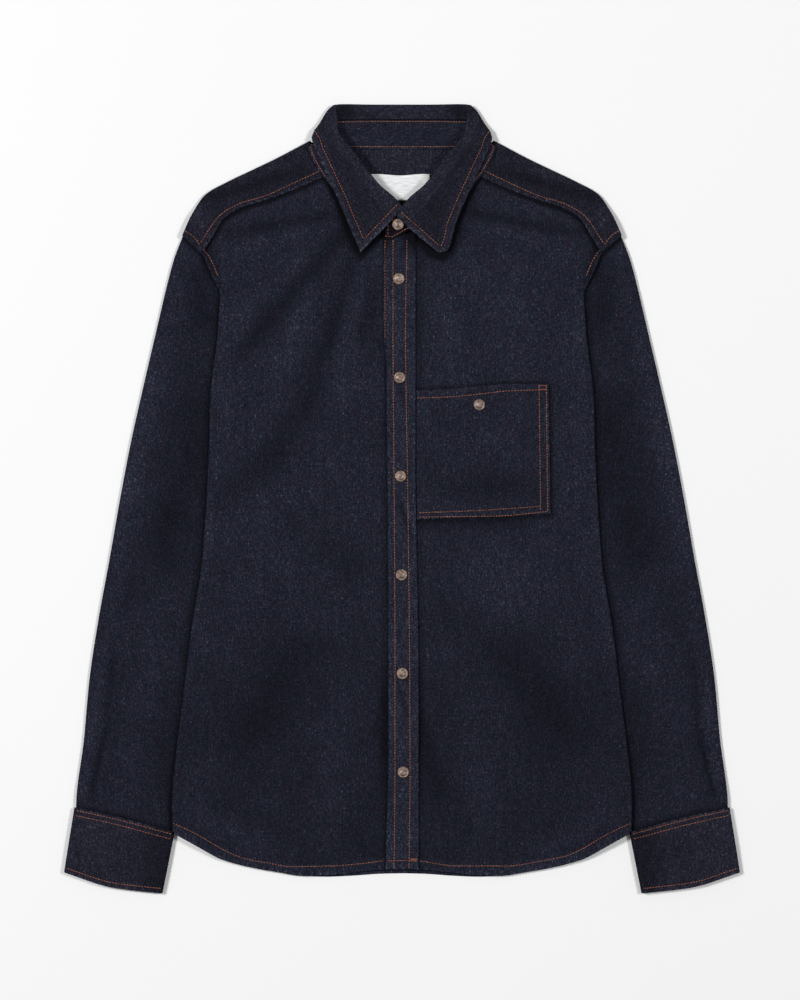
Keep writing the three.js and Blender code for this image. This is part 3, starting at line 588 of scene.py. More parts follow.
def makeFront(name, node, side, inner, height):
    # A front panel: a patch between hem, neck and yoke seam, its middle edge and the side, lifted to its height
    u = spaced(222, front["stepMm"])
    v = spaced(600, front["stepMm"])
    right = bodySide(side, v)
    x = mix(inner, right[0, 0], u)
    bottom = np.stack([x, sample(hemLine, np.abs(x))], axis=1)
    bottom[-1] = right[0]
    top = np.stack([side * sample(frontTopLine, u), sample(frontTopLine, u, 2)], axis=1)
    top[0] = (inner, frontTop)
    top[-1] = right[-1]
    left = np.stack([np.full(len(v), inner), mix(bottom[0, 1], frontTop, v)], axis=1)
    grid = liftTo(coons(bottom, top, left, right, u, v), height)
    y = grid[..., 1]
    onArmhole = smooth(196, 214, y)
    fromSide, fromHem = rimDistance(grid, "right")[0], rimDistance(grid, "start")[0]
    drop = 1 - np.sqrt(1 - (1 - np.clip(fromSide / 5, 0, 1)) ** 2)
    relief = ropes(grid, "start", 7, 0.42, front["ropePitch"]) + onArmhole * ropes(grid, "right", 5, 0.35, 7)
    # Painted shade in the fold troughs and painted light on their ridges; rub wear along the hem and the armhole;
    # lighter along the side edge
    wearAndShade = 0.42 * folds(frontFolds, grid[..., 0], y) + paleRim(grid, "start", 3.2, 1.0, front["ropePitch"])
    wearAndShade = wearAndShade + onArmhole * paleRim(grid, "right", 3, 1.0, 7) + 0.1 * np.exp(-(fromSide / 5) ** 2)
    # Darker towards the bottom, and pale on the hem band
    wearAndShade = wearAndShade - 0.06 - 0.28 * smooth(-60, -260, y) + 0.3 * (1 - smooth(front["hemBand"] - 2, front["hemBand"], fromHem))
    # Painted shadow beside the placket's edges, deeper on the lower front
    beside = np.exp(-((np.abs(grid[..., 0]) - 17) / 4) ** 2)
    wearAndShade = wearAndShade - beside * (0.35 + 0.7 * smooth(-150, -200, y) * (1 - smooth(-260, -300, y)))
    # Painted shadow beside the leaves' edges, below the yoke seam's edge and round the pocket
    dark = 3.2 * edgeShadowMask(grid, leafLines[side], 4.6) + 2.4 * edgeShadowMask(grid * (side, 1, 1), yokeLine, 2.2)
    if side > 0:
        dark = dark + 1.1 * edgeShadowMask(grid, pocketLine, 2.6)
    wearAndShade = wearAndShade - front["paintedShadow"] * dark
    grid[..., 2] += relief - front["edgeDrop"] * drop
    thickness = cloth["wall"] + front["hemExtra"] * (1 - smooth(front["hemBand"] - 1.5, front["hemBand"], fromHem))
    piece = wall(name, grid, thickness, bodyDenim, turned(grid, 0), wearAndShade, rims=("start", "end", "left", "right"))
    layCloth(piece, [node], grid)
    keepPiece(name, grid, cloth["wall"] + 0.3)


makeFront("frontRight", "front_right", -1, 4, frontHeight)
makeFront("frontLeft", "front_left", 1, 5.5, frontLeftHeight)
print("fronts made")


def makeBack():
    # The back panel: a patch between its hem, its yoke seam and both sides, lying on the surface
    u, v = spaced(454, 4.5), spaced(600, 4.5)
    left, right = bodySide(-1, v), bodySide(1, v)
    x = mix(left[0, 0], right[0, 0], u)
    bottom = np.stack([x, sample(hemLine, np.abs(x), 2)], axis=1)
    bottom[0], bottom[-1] = left[0], right[0]
    topHalf = right[-1, 0]
    top = np.stack([mix(-topHalf, topHalf, u), np.full(len(u), right[-1, 1])], axis=1)
    grid = liftTo(coons(bottom, top, left, right, u, v), backHeight)
    grid[..., 2] += (cloth["lap"] + 0.15) * smooth(200, 232, grid[..., 1])
    wearAndShade = paleRim(grid, "start", 3, 0.8, 8.5) - 0.2
    piece = wall("backPanel", grid, cloth["wall"], bodyDenim, turned(grid, 0), wearAndShade,
                 rims=("start", "end", "left", "right"))
    layCloth(piece, ["back"], grid)
    keepPiece("backPanel", grid, cloth["wall"])


makeBack()

# Painted shade and light of the folds of the yoke's wings, which are not in its surface, in half-widths and y
yokeFoldShade = [(195, 300, 100, 327, 6, -1.0), (205, 292, 198, 268, 8, 0.5), (120, 336, 180, 308, 6, 0.35)]
yokeShape = {"lift": cloth["wall"] / 2 + cloth["frontLoft"] + cloth["neckRise"] + cloth["lap"] + 0.2, "dip": 1.5,
             "ropePitch": 8.5, "roundMm": 9}


def makeYoke():
    # The yoke: its back lies flat, and each wing rolls over the shoulder line and down to the front yoke seam
    at = spaced(142, 2.3, (False, True))
    backT = 1 - spaced(100, 3.2, (True, False))[::-1]
    backT = np.r_[backT[backT < 0.97], 0.975, 0.987, 0.995]
    frontT = np.r_[0.0, 0.006, 0.015, 0.03, 0.05, 0.08, spaced(44, 1.7, (False, True))[3:]]
    foldX, foldY = sample(shoulderLine, at), sample(shoulderLine, at, 2)
    lowX, highX, highY = sample(yokeBack, at), sample(yokeFront, at), sample(yokeFront, at, 2)
    t = backT[:, None]
    backX, backY = mix(lowX, foldX, t), mix(backYokeSeam, foldY, t)
    t = frontT[:, None]
    frontX, frontY = mix(foldX, highX, t), mix(foldY, highY, t)

    def top(x, y):
        return yokeShape["lift"] + cloth["overSleeveShare"] * (backHeight(x, y) - cloth["wall"] / 2)

    middleB = (backHeight(backX, backY) + top(backX, backY)) / 2
    roundB = np.hypot(backX - foldX, backY - foldY)
    backZ = mix(middleB, backHeight(backX, backY), np.sqrt(smooth(-0.3, 5, roundB)))
    middleF = (backHeight(frontX, frontY) + top(frontX, frontY)) / 2
    topF = top(frontX, frontY) - yokeShape["dip"] * (1 - smooth(0.3, 0.7, frontT[:, None]))
    roundF = np.hypot(frontX - foldX, frontY - foldY)
    frontZ = mix(middleF, topF, np.sqrt(smooth(-0.3, yokeShape["roundMm"], roundF)))
    wing = np.stack([np.r_[backX, frontX], np.r_[backY, frontY], np.r_[backZ, frontZ]], axis=2)
    half = np.linspace(-1, 1, 61)[1:-1]
    rowsT = np.r_[backT, np.ones(len(frontT))][:, None]
    neckX = mix(yokeBack[0][1], shoulderLine[0][1], rowsT) * half
    neckY = mix(backYokeSeam, 355, rowsT) + 0 * neckX
    neck = np.stack([neckX, neckY, backHeight(neckX, neckY)], axis=2)
    mirrored = wing[:, ::-1] * np.array([-1, 1, 1])
    grid = np.concatenate([mirrored, neck, wing], axis=1)
    rows, columns = grid.shape[:2]
    keep = np.ones((rows - 1, columns - 1), bool)
    first = wing.shape[1] - 1
    keep[len(backT):, first:columns - 1 - first] = False
    wingSide = np.abs(np.arange(columns) - (columns - 1) / 2)[None] > len(half) / 2
    onWing = wingSide & (np.arange(rows)[:, None] > len(backT))
    relief = ropes(grid, "end", 6, 0.65, yokeShape["ropePitch"]) * onWing
    armRope = ropes(grid, "left", 5, 0.3, 7) + ropes(grid, "right", 5, 0.3, 7)
    grid[..., 2] += relief + armRope * onWing
    wearAndShade = paleRim(grid, "end", 3.2, 1.1, yokeShape["ropePitch"]) * onWing + 0.2 * ~onWing
    wearAndShade = wearAndShade + (paleRim(grid, "left", 3, 0.9, 7) + paleRim(grid, "right", 3, 0.9, 7)) * onWing - 0.1 - 0.15 * onWing
    # Painted shade and light of the wings' folds
    wearAndShade = wearAndShade + 0.6 * folds(yokeFoldShade, np.abs(grid[..., 0]), grid[..., 1]) * onWing
    piece = wall("yokeSaddle", grid, cloth["wall"], greyDenim, turned(grid, 0), wearAndShade, keep=keep,
                 rims=("start", "end", "left", "right"))
    layCloth(piece, ["yoke"], grid, keep=keep)
    keepPiece("yokeSaddle", grid, cloth["wall"])
    facing = normals(grid)
    pieces["yokeBack"] = {"grid": grid[:len(backT)], "normal": facing[:len(backT)], "half": cloth["wall"] / 2}
    for name, columns in (("wingRight", np.s_[:first + 1]), ("wingLeft", np.s_[-first - 1:])):
        rows = np.s_[len(backT) + 4:]
        pieces[name] = {"grid": grid[rows, columns], "normal": facing[rows, columns], "half": cloth["wall"] / 2}


makeYoke()
print("back and yoke made")


sleeveShape = {"round": 7.0, "underRound": 2.2, "stepMm": 3.0,
               "pleat": {"from": (290, -157), "to": (314, -309), "width": 6, "height": 1.1}}


def sleeveTop(x, y, t):
    # Top face of the tube: thin where it is tucked, fuller beyond the body's edge, with its pleat and folds
    pleat = sleeveShape["pleat"]
    (x1, y1), (x2, y2) = pleat["from"], pleat["to"]
    dx, dy = x2 - x1, y2 - y1
    onward = ((x - x1) * dx + (y - y1) * dy) / (dx * dx + dy * dy)
    aside = ((x - x1) * dy - (y - y1) * dx) / math.hypot(dx, dy)
    beyond = smooth(2, 26, x - sample(bodyEdge, y))
    fold = pleat["height"] * smooth(0, 0.5, onward) * np.exp(-(aside / pleat["width"]) ** 2)
    full = cloth["tuckTop"] + cloth["swell"] * beyond + fold + 0.75 * beyond * folds(sleeveFolds, x, y)
    return mix(full, 4.2, smooth(0.94, 0.985, t))


def makeSleeve(name, node, side):
    # A flattened tube: each station is a ring from the outer edge over the top to the inner edge and back
    t = spaced(590, sleeveShape["stepMm"], (True, True))[:, None]
    upper = spaced(96, 2.6, (True, True))
    under = 1 - np.linspace(0.015, 0.985, 20)
    s = np.r_[upper, under][None]
    above = np.r_[np.ones(len(upper)), np.zeros(len(under))][None]
    outerY, innerY = mix(262, -318, t), mix(153, -342, t)
    outer, inner = sample(sleeveOuter, outerY) - cloth["wall"] / 2, sample(sleeveInner, innerY)
    fade = 1 - smooth(0, 0.3, t)
    x = mix(outer, inner, s) + (sample(sleeveCap, s) - mix(218, 150, s)) * fade
    y = mix(outerY, innerY, s) + (sample(sleeveCap, s, 2) - mix(262, 153, s)) * fade
    low = cloth["wall"] / 2 + 1.8 * smooth(0.93, 0.98, t)
    high = sleeveTop(x, y, t)
    fromEdge = np.minimum(s, 1 - s) * (outer - inner)
    middle = np.minimum((low + high) / 2, low + 1.3)

    def curve(radius):
        return np.sqrt(1 - (1 - np.minimum(1, fromEdge / radius)) ** 2)

    z = np.where(above > 0, mix(middle, high, curve(sleeveShape["round"])),
                 mix(middle, low, curve(sleeveShape["underRound"])))
    grid = np.stack([side * x, y + 0 * z, z], axis=2)
    beyond = x - sample(bodyEdge, y)
    # Painted highlight along the sleeve's rounded outer edge, weaker towards the cuff
    outerSheen = 0.27 * np.exp(-((x - outer + 8) / 12) ** 2)
    # Painted shadow beside the cuff's top edge, which lies on the sleeve
    cuffShadow = edgeShadowMask(np.stack([x, y + 0 * x], axis=2), [row[1:] for row in cuffTop], 3.2)
    # Painted shade and light following the folds, and painted shadow beside the body's edge, which lies over the
    # sleeve
    wearAndShade = -1.1 * cuffShadow + 0.5 * folds(sleeveFolds, x, y) + outerSheen * (1 - 0.5 * smooth(-40, -160, y)) - 0.9 * np.exp(-(beyond / 5) ** 2) - 0.1
    piece = wall(name, grid, cloth["wall"], sleeveDenim, turned(grid, -11 * side), wearAndShade, ring=True,
                 rims=("start", "end"))
    layCloth(piece, [node], grid, ring=True)


makeSleeve("sleeveRight", "sleeve_right", -1)
makeSleeve("sleeveLeft", "sleeve_left", 1)
print("sleeves made")


def makeCuff(name, node, side):
    # A doubled band round the wrist, flattened: rings between its top line and its lower edge
    t = spaced(64, 2.0)[:, None]
    upper = spaced(110, 2.2)
    s = np.r_[upper, 1 - np.linspace(0.02, 0.98, 26)][None]
    above = np.r_[np.ones(len(upper)), np.zeros(26)][None]
    x = mix(sample(cuffTop, s), sample(cuffEnd, s), t)
    y = mix(sample(cuffTop, s, 2), sample(cuffEnd, s, 2), t)
    curve = np.sqrt(1 - (1 - np.minimum(1, np.minimum(s, 1 - s) * 100 / 3)) ** 2) + 0 * x
    z = np.where(above > 0, mix(3.2, 5.8, curve), mix(3.2, cloth["doubled"] / 2, curve))
    grid = np.stack([side * x, y, z], axis=2)
    relief = ropes(grid, "end", 5, 0.4, 8) + 0.5 * ropes(grid, "start", 5, 0.4, 8)
    panel = 0.35 * np.sin(6 * s + 2.5 * t) * np.sin(3.1 * t) * above
    inside = smooth(0.62, 0.98, s) * above
    # Painted light on the bulges of the panel and painted shade between them; rub wear along both rims; darker towards
    # the inner end
    wearAndShade = paleRim(grid, "end", 3, 1.0, 8) + paleRim(grid, "start", 2.5, 0.9, 8) + 0.3 * panel - 0.7 * inside - 0.02
    grid[..., 2] += above * (relief + panel)
    piece = wall(name, grid, cloth["doubled"], greyDenim, turned(grid, -14 * side), wearAndShade, ring=True,
                 rims=("start", "end"))
    layCloth(piece, [node], grid, ring=True)
    top = grid[:, :len(upper)]
    pieces[name] = {"grid": top, "normal": normals(top) * side, "half": cloth["doubled"] / 2}
    below = grid[:, len(upper):]
    pieces[name + "Under"] = {"grid": below, "normal": normals(below), "half": cloth["doubled"] / 2}


makeCuff("cuffRight", "cuff_right", -1)
makeCuff("cuffLeft", "cuff_left", 1)
print("cuffs made")

leafShape = {"wall": 1.2, "turns": 13, "rowInset": 8.0, "endInset": 6.9, "pinch": 0.32, "standWall": 1.3}


def collarLines(finer):
    # The collar's stations from its right front end round the back of the neck to its left one, each with
    # its side and all the columns of the table
    at = np.r_[np.linspace(0, 0.24, 8), np.linspace(0.27, 1, finer)]
    stations = [(-1, a) for a in at[:0:-1]] + [(1, a) for a in at]
    sections = []
    for side, a in stations:
        rows = collarSections + collarEnds[side]
        row = np.array([float(sample(rows, a, k)) for k in range(1, 17)])
        row[[0, 3, 6, 10, 13]] *= side
        sections.append(row)
    return np.array(sections)


def makeLeaf():
    # Each section runs from its root to the ridge, half round it, then in one bend over to its edge
    rows = collarLines(100)
    root, ridge, roll = rows[:, 3:6], rows[:, 6:9], rows[:, 9:10]
    outer, edge = rows[:, 10:13], rows[:, 13:16]

    def unit(v):
        return v / np.linalg.norm(v, axis=1, keepdims=True)

    toRoot, toOuter = unit(root - ridge), unit(outer - ridge)
    inward = unit(toRoot + toOuter)
    over = toOuter - toRoot
    over = unit(over - (over * inward).sum(1, keepdims=True) * inward)
    centre = ridge + inward * roll
    lines = []
    angles = np.radians(np.linspace(-90, 90, leafShape["turns"]))
    turns = [centre - inward * roll * math.cos(a) + over * roll * math.sin(a) for a in angles]
    for share in spaced(25, 2.2, (True, False))[:-1]:
        lines.append(mix(root, turns[0], share))
    lines += turns
    control = 2 * outer - (turns[-1] + edge) / 2
    for share in spaced(50, 1.8, (False, True))[1:]:
        lines.append((1 - share) ** 2 * turns[-1] + 2 * share * (1 - share) * control + share ** 2 * edge)
    grid = np.stack(lines, axis=1)
    normal = normals(grid)
    away, beside = rimDistance(grid, "right")
    endLine = np.minimum(rimDistance(grid, "start")[0], rimDistance(grid, "end")[0])
    falls = np.arange(grid.shape[1]) >= grid.shape[1] - 24
    near = np.minimum(away, np.where(falls, endLine, 99))
    stitched = np.exp(-((near - leafShape["rowInset"]) / 1.4) ** 2)
    quilted = leafShape["pinch"] * stitched * (0.7 + 0.3 * np.sin(beside / 1.1))
    swell = 0.35 * np.exp(-((near - 4) / 2.2) ** 2)
    rope = ropes(grid, "right", 6, 0.3, 8.5)
    raised = (swell - quilted + rope)[..., None] * normal
    grid = grid + raised * np.where(normal[:, -1:, 2:] > 0, 1, -1)
    wearAndShade = paleRim(grid, "right", 3.5, 1.0, 8.5) + 0.9 * np.exp(-(endLine / 3) ** 2) * falls
    # Painted shade in the collar's corners at the back of the neck
    corner = np.exp(-((np.abs(grid[..., 0]) - 57) ** 2 + (grid[..., 1] - 386) ** 2) / 81)
    wearAndShade = wearAndShade - 0.3 * smooth(9, 15, near) * falls - corner - 0.5 * stitched + 0.25 * np.exp(-((np.arange(grid.shape[1]) - 18) / 5.0) ** 2)
    piece = wall("collarLeaf", grid, leafShape["wall"], greyDenim, unrolled(grid), wearAndShade,
                 rims=("start", "end", "left", "right"))
    layCloth(piece, ["collar_leaf"], grid)
    pieces["collarLeaf"] = {"grid": grid, "normal": normals(grid), "half": leafShape["wall"] / 2, "rows": rows}


def makeStand():
    # A straight band from the neck seam up to the root, with its lapped end beyond the left front
    rows = collarLines(70)
    seam, root = rows[:, 0:3], rows[:, 3:6]
    back = seam - root
    root = root + 0.9 * back / np.linalg.norm(back, axis=1, keepdims=True)
    lap = np.array(standLapEnd, float)
    share = np.linspace(0, 1, 9)[1:]
    low = np.r_[seam, np.stack([np.interp(share, [0, 0.5, 1], [seam[-1, 0], *lap[:, 0]]),
                                np.interp(share, [0, 0.5, 1], [seam[-1, 1], *lap[:, 1]]),
                                np.interp(share, [0, 0.5, 1], [seam[-1, 2], *lap[:, 4]])], axis=1)]
    high = np.r_[root, np.stack([np.interp(share, [0, 0.5, 1], [root[-1, 0], *lap[:, 2]]),
                                 np.interp(share, [0, 0.5, 1], [root[-1, 1], *lap[:, 3]]),
                                 np.interp(share, [0, 0.5, 1], [root[-1, 2], *(lap[:, 4] + 0.8)])], axis=1)]
    t = spaced(28, 1.8)[None, :, None]
    grid = mix(low[:, None], high[:, None], t)
    wearAndShade = paleRim(grid, "left", 2.5, 0.8, 8) + paleRim(grid, "end", 2.5, 0.7, 8) - 0.02
    # Painted shadow of the leaves on the stand's front ends
    wearAndShade = wearAndShade - 3.0 * smooth(300, 292, grid[..., 1]) * leafShadowMask(grid)
    piece = wall("collarStand", grid, leafShape["standWall"], insideDenim, unrolled(grid), wearAndShade,
                 rims=("start", "end", "left", "right"))
    layCloth(piece, ["collar_stand"], grid)
    pieces["collarStand"] = {"grid": grid, "normal": normals(grid), "half": leafShape["standWall"] / 2}


makeLeaf()
makeStand()
print("collar made")

# Painted shade and light of wrinkles of the placket, where it was pulled while it was sewn; only the colour reads this
# table
bandWrinkleShade = [(-2, -2, 9, -40, 2.2, -1.3), (2, 0, 13, -34, 2.0, 0.5), (-4, -186, 5, -216, 1.8, -0.9),
             (-2, 240, 8, 262, 3.0, -1.0), (-6, 126, 2, 96, 1.8, -0.7), (3, -110, -4, -140, 1.8, -0.6)]
bandShape = {"left": -16.0, "right": 13.6, "low": -371.0, "high": 264.0}


def placketEdge(y):
    return bandShape["left"] + 3 * (smooth(260, -200, y) - smooth(-240, -366, y))


def placketFarEdge(y):
    return bandShape["right"] + 3 * smooth(30, -190, y)


def makeBand(name, node, left, right, low, high, thickness, height):
    # A strip down the front: two edges and a height for every y
    y = mix(low, high, spaced(630, 2.2))[:, None]
    u = spaced(30, 1.3)[None]
    x = mix(left(y), right(y), u)
    grid = np.stack([x, y + 0 * x, height(y) + 0 * x], axis=2)
    doubledEdges = thickness > cloth["wall"]
    pucker = (ropes(grid, "left", 3.5, 0.3, 7) + ropes(grid, "right", 3.5, 0.3, 7)) * doubledEdges
    grid[..., 2] += pucker
    pale = paleRim(grid, "left", 2.2, 0.8, 7) + paleRim(grid, "right", 2.2, 0.8, 7)
    ends = paleRim(grid, "start", 3, 0.8, 8)
    wearAndShade = (0.5 * pale + ends) * (1 if doubledEdges else 0.4) + 0.14 * doubledEdges
    # Painted shadow under the leaves, and painted shade and light of the wrinkles
    wearAndShade = wearAndShade - 3.0 * leafShadowMask(grid) + 0.6 * folds(bandWrinkleShade, x, y)
    piece = wall(name, grid, thickness, bodyDenim, turned(grid, 0), wearAndShade, rims=("start", "end", "left", "right"))
    layCloth(piece, [node], grid)
    keepPiece(name, grid, thickness)


makeBand("placketUnder", "placket_under", lambda y: bandShape["left"] - 2.6 + 4.6 * smooth(180, 100, y),
         lambda y: 4 + 0 * y, bandShape["low"], frontTop, cloth["wall"],
         lambda y: frontHeight(-6, y) + cloth["lap"] + 0.25)
makeBand("placketBand", "placket", placketEdge, placketFarEdge, bandShape["low"], bandShape["high"],
         cloth["doubled"], placketHeight)


def pocketHeight(x, y):
    bulge = 0.5 * np.exp(-(((x - 84) / 40) ** 2)) * np.exp(-(((y - 84) / 22) ** 2))
    sunk = 0.8 * np.exp(-(((y - 18) / 24) ** 2)) * np.exp(-(((x - 96) / 42) ** 2))
    return frontLeftHeight(x, y) + cloth["lap"] + 0.25 + bulge - sunk * 0.25


def makePocket():
    # A patch pocket lapping the placket's edge at one side, its corners from the photo
    u, v = spaced(132, 2.0), spaced(132, 2.0)
    uu, vv = u[None], v[:, None]
    topY = mix(107.5, 114, smooth(0, 0.75, uu))
    y = mix(mix(-21.5, -15.5, uu), topY, vv)
    x = mix(placketFarEdge(y) + 0.8, mix(148.5, 146.5, vv), uu)
    grid = np.stack([x, y, pocketHeight(x, y)], axis=2)
    edges = ropes(grid, "right", 5, 0.3, 8) + ropes(grid, "start", 5, 0.3, 8) + ropes(grid, "end", 5, 0.12, 14)
    grid[..., 2] += edges
    tones = [paleRim(grid, side, 3, amount, 8) for side, amount in (("right", 0.7), ("start", 0.7), ("end", 0.4))]
    # Painted shade in the pocket's sunken lower middle
    hollowShade = np.exp(-(((grid[..., 1] - 12) / 16) ** 2)) * np.exp(-(((grid[..., 0] - 92) / 44) ** 2))
    wearAndShade = sum(tones) - 0.45 * hollowShade - 0.05
    piece = wall("chestPocket", grid, cloth["wall"], bodyDenim, turned(grid, 0), wearAndShade,
                 rims=("start", "end", "left", "right"))
    layCloth(piece, ["pocket"], grid)
    keepPiece("chestPocket", grid, cloth["wall"])


makePocket()
print("bands and pocket made")


def makeLabel():
    # A strip of satin sewn along its top, wavy, its right end folded under
    u, v = np.linspace(0, 1, 60)[None], np.linspace(0, 1, 26)[:, None]
    wave = 0.7 * np.sin(8.4 * u + 0.4)
    x = mix(-34, 28, u) + 0 * v
    y = mix(298, 323.5 + wave, v)
    lift = 0.25 * np.sin(8.4 * u) + 0.7 * smooth(0.86, 0.95, u) * (1 - smooth(0.965, 1.0, u)) * (1 - 0.3 * v)
    grid = np.stack([x, y, cloth["wall"] + 1.0 + lift + 0 * y], axis=2)
    piece = wall("neckLabel", grid, 0.5, satin, turned(grid, 0), np.zeros(grid.shape[:2]),
                 rims=("start", "end", "left", "right"))
    layCloth(piece, ["label"], grid)


makeLabel()

snapShape = {"radius": 5.8, "height": 2.6, "sides": 40, "firstY": 219.0, "pitch": 98.6}
snapProfile = [(0, 0), (0.86, 0), (0.97, 0.12), (1.0, 0.3), (0.97, 0.52), (0.88, 0.66), (0.78, 0.66), (0.72, 0.58),
               (0.66, 0.6), (0.56, 0.76), (0.4, 0.9), (0.2, 0.97), (0, 1)]


def makeSnap(name, node, place):
    # A cap turned round z: rolled rim, a groove inside it, and a domed crown
    outline = np.array(snapProfile) * (snapShape["radius"], snapShape["height"])
    turn = np.linspace(0, 2 * math.pi, snapShape["sides"], endpoint=False)
    r, z = outline[:, :1], outline[:, 1:]
    grid = np.stack([r * np.cos(turn), r * np.sin(turn), z + 0 * turn], axis=2) + place
    rows, columns = grid.shape[:2]
    index = np.arange(rows * columns).reshape(rows, columns)
    ring = np.concatenate([index, index[:, :1]], axis=1)
    quads = np.stack([ring[:-1, :-1], ring[:-1, 1:], ring[1:, 1:], ring[1:, :-1]], axis=2).reshape(-1, 4)
    points = grid.reshape(-1, 3)
    piece = makeMesh(name, points, quads, points[:, :2], np.zeros(len(points)), copper)
    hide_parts(node)


placketSnaps = [(-3.2 + 0.9 * k, snapShape["firstY"] - k * snapShape["pitch"]) for k in range(6)]
makeSnap("snapOne", "snap_1", (-4, 273, 12.5))
for k, (x, y) in enumerate(placketSnaps):
    makeSnap(f"snap{k + 2}Cap", f"snap_{k + 2}", (x, y, float(placketHeight(y)) + 1.1))
pocketSnap = (77.3, 93.2)
makeSnap("snapPocketCap", "snap_pocket",
         (*pocketSnap, float(frontLeftHeight(*pocketSnap)) + cloth["lap"] + cloth["wall"] / 2 + 0.6))
print("label and snaps made")


stitchShape = {"pitch": 2.9, "length": 2.3, "width": 0.76, "height": 0.5, "sides": 6}
stitchRows = {}


def resample(points, facing, step):
    # Places a step apart along a line, with the direction of the line there
    reach = np.insert(np.cumsum(np.linalg.norm(np.diff(points, axis=0), axis=1)), 0, 0)
    count = max(2, int(reach[-1] / step))
    at = (np.arange(count) + 0.5) * reach[-1] / count
    spot = np.stack([np.interp(at, reach, points[:, k]) for k in range(3)], axis=1)
    face = np.stack([np.interp(at, reach, facing[:, k]) for k in range(3)], axis=1)
    ahead = np.stack([np.interp(at + 0.5, reach, points[:, k]) for k in range(3)], axis=1)
    back = np.stack([np.interp(at - 0.5, reach, points[:, k]) for k in range(3)], axis=1)
    return spot, face, ahead - back


def addRow(group, points, facing, half, step=None, long=None, slant=0.0):
    # One row of stitches: each starts at its own place on the cloth's face and lies along the line
    step = step or stitchShape["pitch"]
    spot, face, way = resample(np.asarray(points, float), np.asarray(facing, float), step)
    face = face / np.linalg.norm(face, axis=1, keepdims=True)
    way = way - (way * face).sum(1, keepdims=True) * face
    way = way / np.maximum(np.linalg.norm(way, axis=1, keepdims=True), 1e-9)
    side = np.cross(face, way)
    angle = slant + random.uniform(-0.09, 0.09, len(spot))[:, None]
    turnedWay = way * np.cos(angle) + side * np.sin(angle)
    spot = spot + half * face + side * random.uniform(-0.12, 0.12, len(spot))[:, None]
    size = (long or stitchShape["length"]) * random.uniform(0.88, 1.08, len(spot))[:, None]
    stitchRows.setdefault(group, []).append(np.concatenate([spot, face, turnedWay, size], axis=1))


def makeStitches(group):
    # All the stitches of a group as one mesh: a short swollen capsule, set at each place and pressed in
    rows = np.concatenate(stitchRows[group])
    turn = np.linspace(0, 2 * math.pi, stitchShape["sides"], endpoint=False)
    around = np.stack([np.cos(turn), np.sin(turn)], axis=1)
    stations = [(-0.5, 0.35), (-0.3, 0.92), (0.0, 1.0), (0.3, 0.92), (0.5, 0.35)]
    template = np.array([[a, r * c * stitchShape["width"] / 2, r * s * stitchShape["height"] / 2]
                         for a, r in stations for c, s in around])
    spot, face, way, size = rows[:, None, 0:3], rows[:, None, 3:6], rows[:, None, 6:9], rows[:, None, 9:10]
    side = np.cross(face, way)
    sag = -0.22 * np.abs(template[None, :, :1]) ** 2 * 4 * stitchShape["height"]
    points = spot + way * template[None, :, :1] * size + side * template[None, :, 1:2] \
        + face * (template[None, :, 2:3] + 0.12 + sag)
    sides = stitchShape["sides"]
    k = np.arange(sides)
    ring = np.concatenate([np.stack([k + j * sides, (k + 1) % sides + j * sides, (k + 1) % sides + (j + 1) * sides,
                                     k + (j + 1) * sides], axis=1) for j in range(len(stations) - 1)])
    last = (len(stations) - 1) * sides
    caps = np.array([[2, 1, 0, 3], [5, 4, 3, 0], [last, last + 1, last + 2, last + 3],
                     [last + 3, last + 4, last + 5, last]])
    faces = np.concatenate([ring, caps])
    quads = (faces[None] + (np.arange(len(rows)) * len(template))[:, None, None]).reshape(-1, 4)
    flat = points.reshape(-1, 3)
    piece = makeMesh(group, flat, quads, flat[:, :2], np.zeros(len(flat)), thread)


def onSurface(name, xy, group, below=False, **options):
    # A row over a piece whose columns run in x and rows in y: heights come from its nearest grid points,
    # and the row lies on its lower face where below is set
    points = np.asarray(xy, float)
    reach = np.insert(np.cumsum(np.linalg.norm(np.diff(points, axis=0), axis=1)), 0, 0)
    at = np.linspace(0, reach[-1], max(8, int(reach[-1] / 4)))
    line = np.stack([sample(np.stack([reach, points[:, k]], axis=1), at) for k in range(2)], axis=1)
    piece = pieces[name]
    plan = piece["grid"][..., :2].reshape(-1, 2)
    near = np.array([np.argmin(((plan - spot) ** 2).sum(1)) for spot in line])
    z = piece["grid"][..., 2].ravel()[near]
    face = piece["normal"].reshape(-1, 3)[near]
    face = face * np.sign(face[:, 2:])
    z = z - ((line - plan[near]) * face[:, :2]).sum(1) / np.maximum(face[:, 2], 0.3)
    addRow(group, np.c_[line, z], -face if below else face, piece["half"], **options)


def mirrored(xy):
    return [(-x, y) for x, y in xy]


# Rows of stitches, as places in x and y along each, read off the photo
hemRow = [(-229, -325), (-214, -331.5), (-200, -339), (-179, -351.5), (-165, -358), (-152, -362), (-134, -365), (-113, -368.6),
          (-68, -368), (-43, -366), (-20, -363)]
hemRowLeft = [(18, -363), (56, -368), (106, -368), (136, -363.6), (164, -358), (179, -351.5), (200, -339), (214, -331.5), (229, -325)]
yokeSeamRow = [(-82, 327), (-112, 313), (-136, 302.4), (-163, 294), (-182, 282.5), (-201, 255)]
armholeRow = [(-217, 267), (-209, 262), (-202, 253), (-191, 238), (-184, 222)]
onSurface("frontRight", hemRow, "frontThread")
onSurface("frontLeft", hemRowLeft, "frontThread")
onSurface("wingRight", yokeSeamRow, "yokeThread")
onSurface("wingLeft", mirrored(yokeSeamRow), "yokeThread")
onSurface("wingRight", armholeRow[:3], "yokeThread")
onSurface("wingLeft", mirrored(armholeRow[:3]), "yokeThread")
onSurface("frontRight", armholeRow[2:], "frontThread")
onSurface("frontLeft", mirrored(armholeRow[2:]), "frontThread")
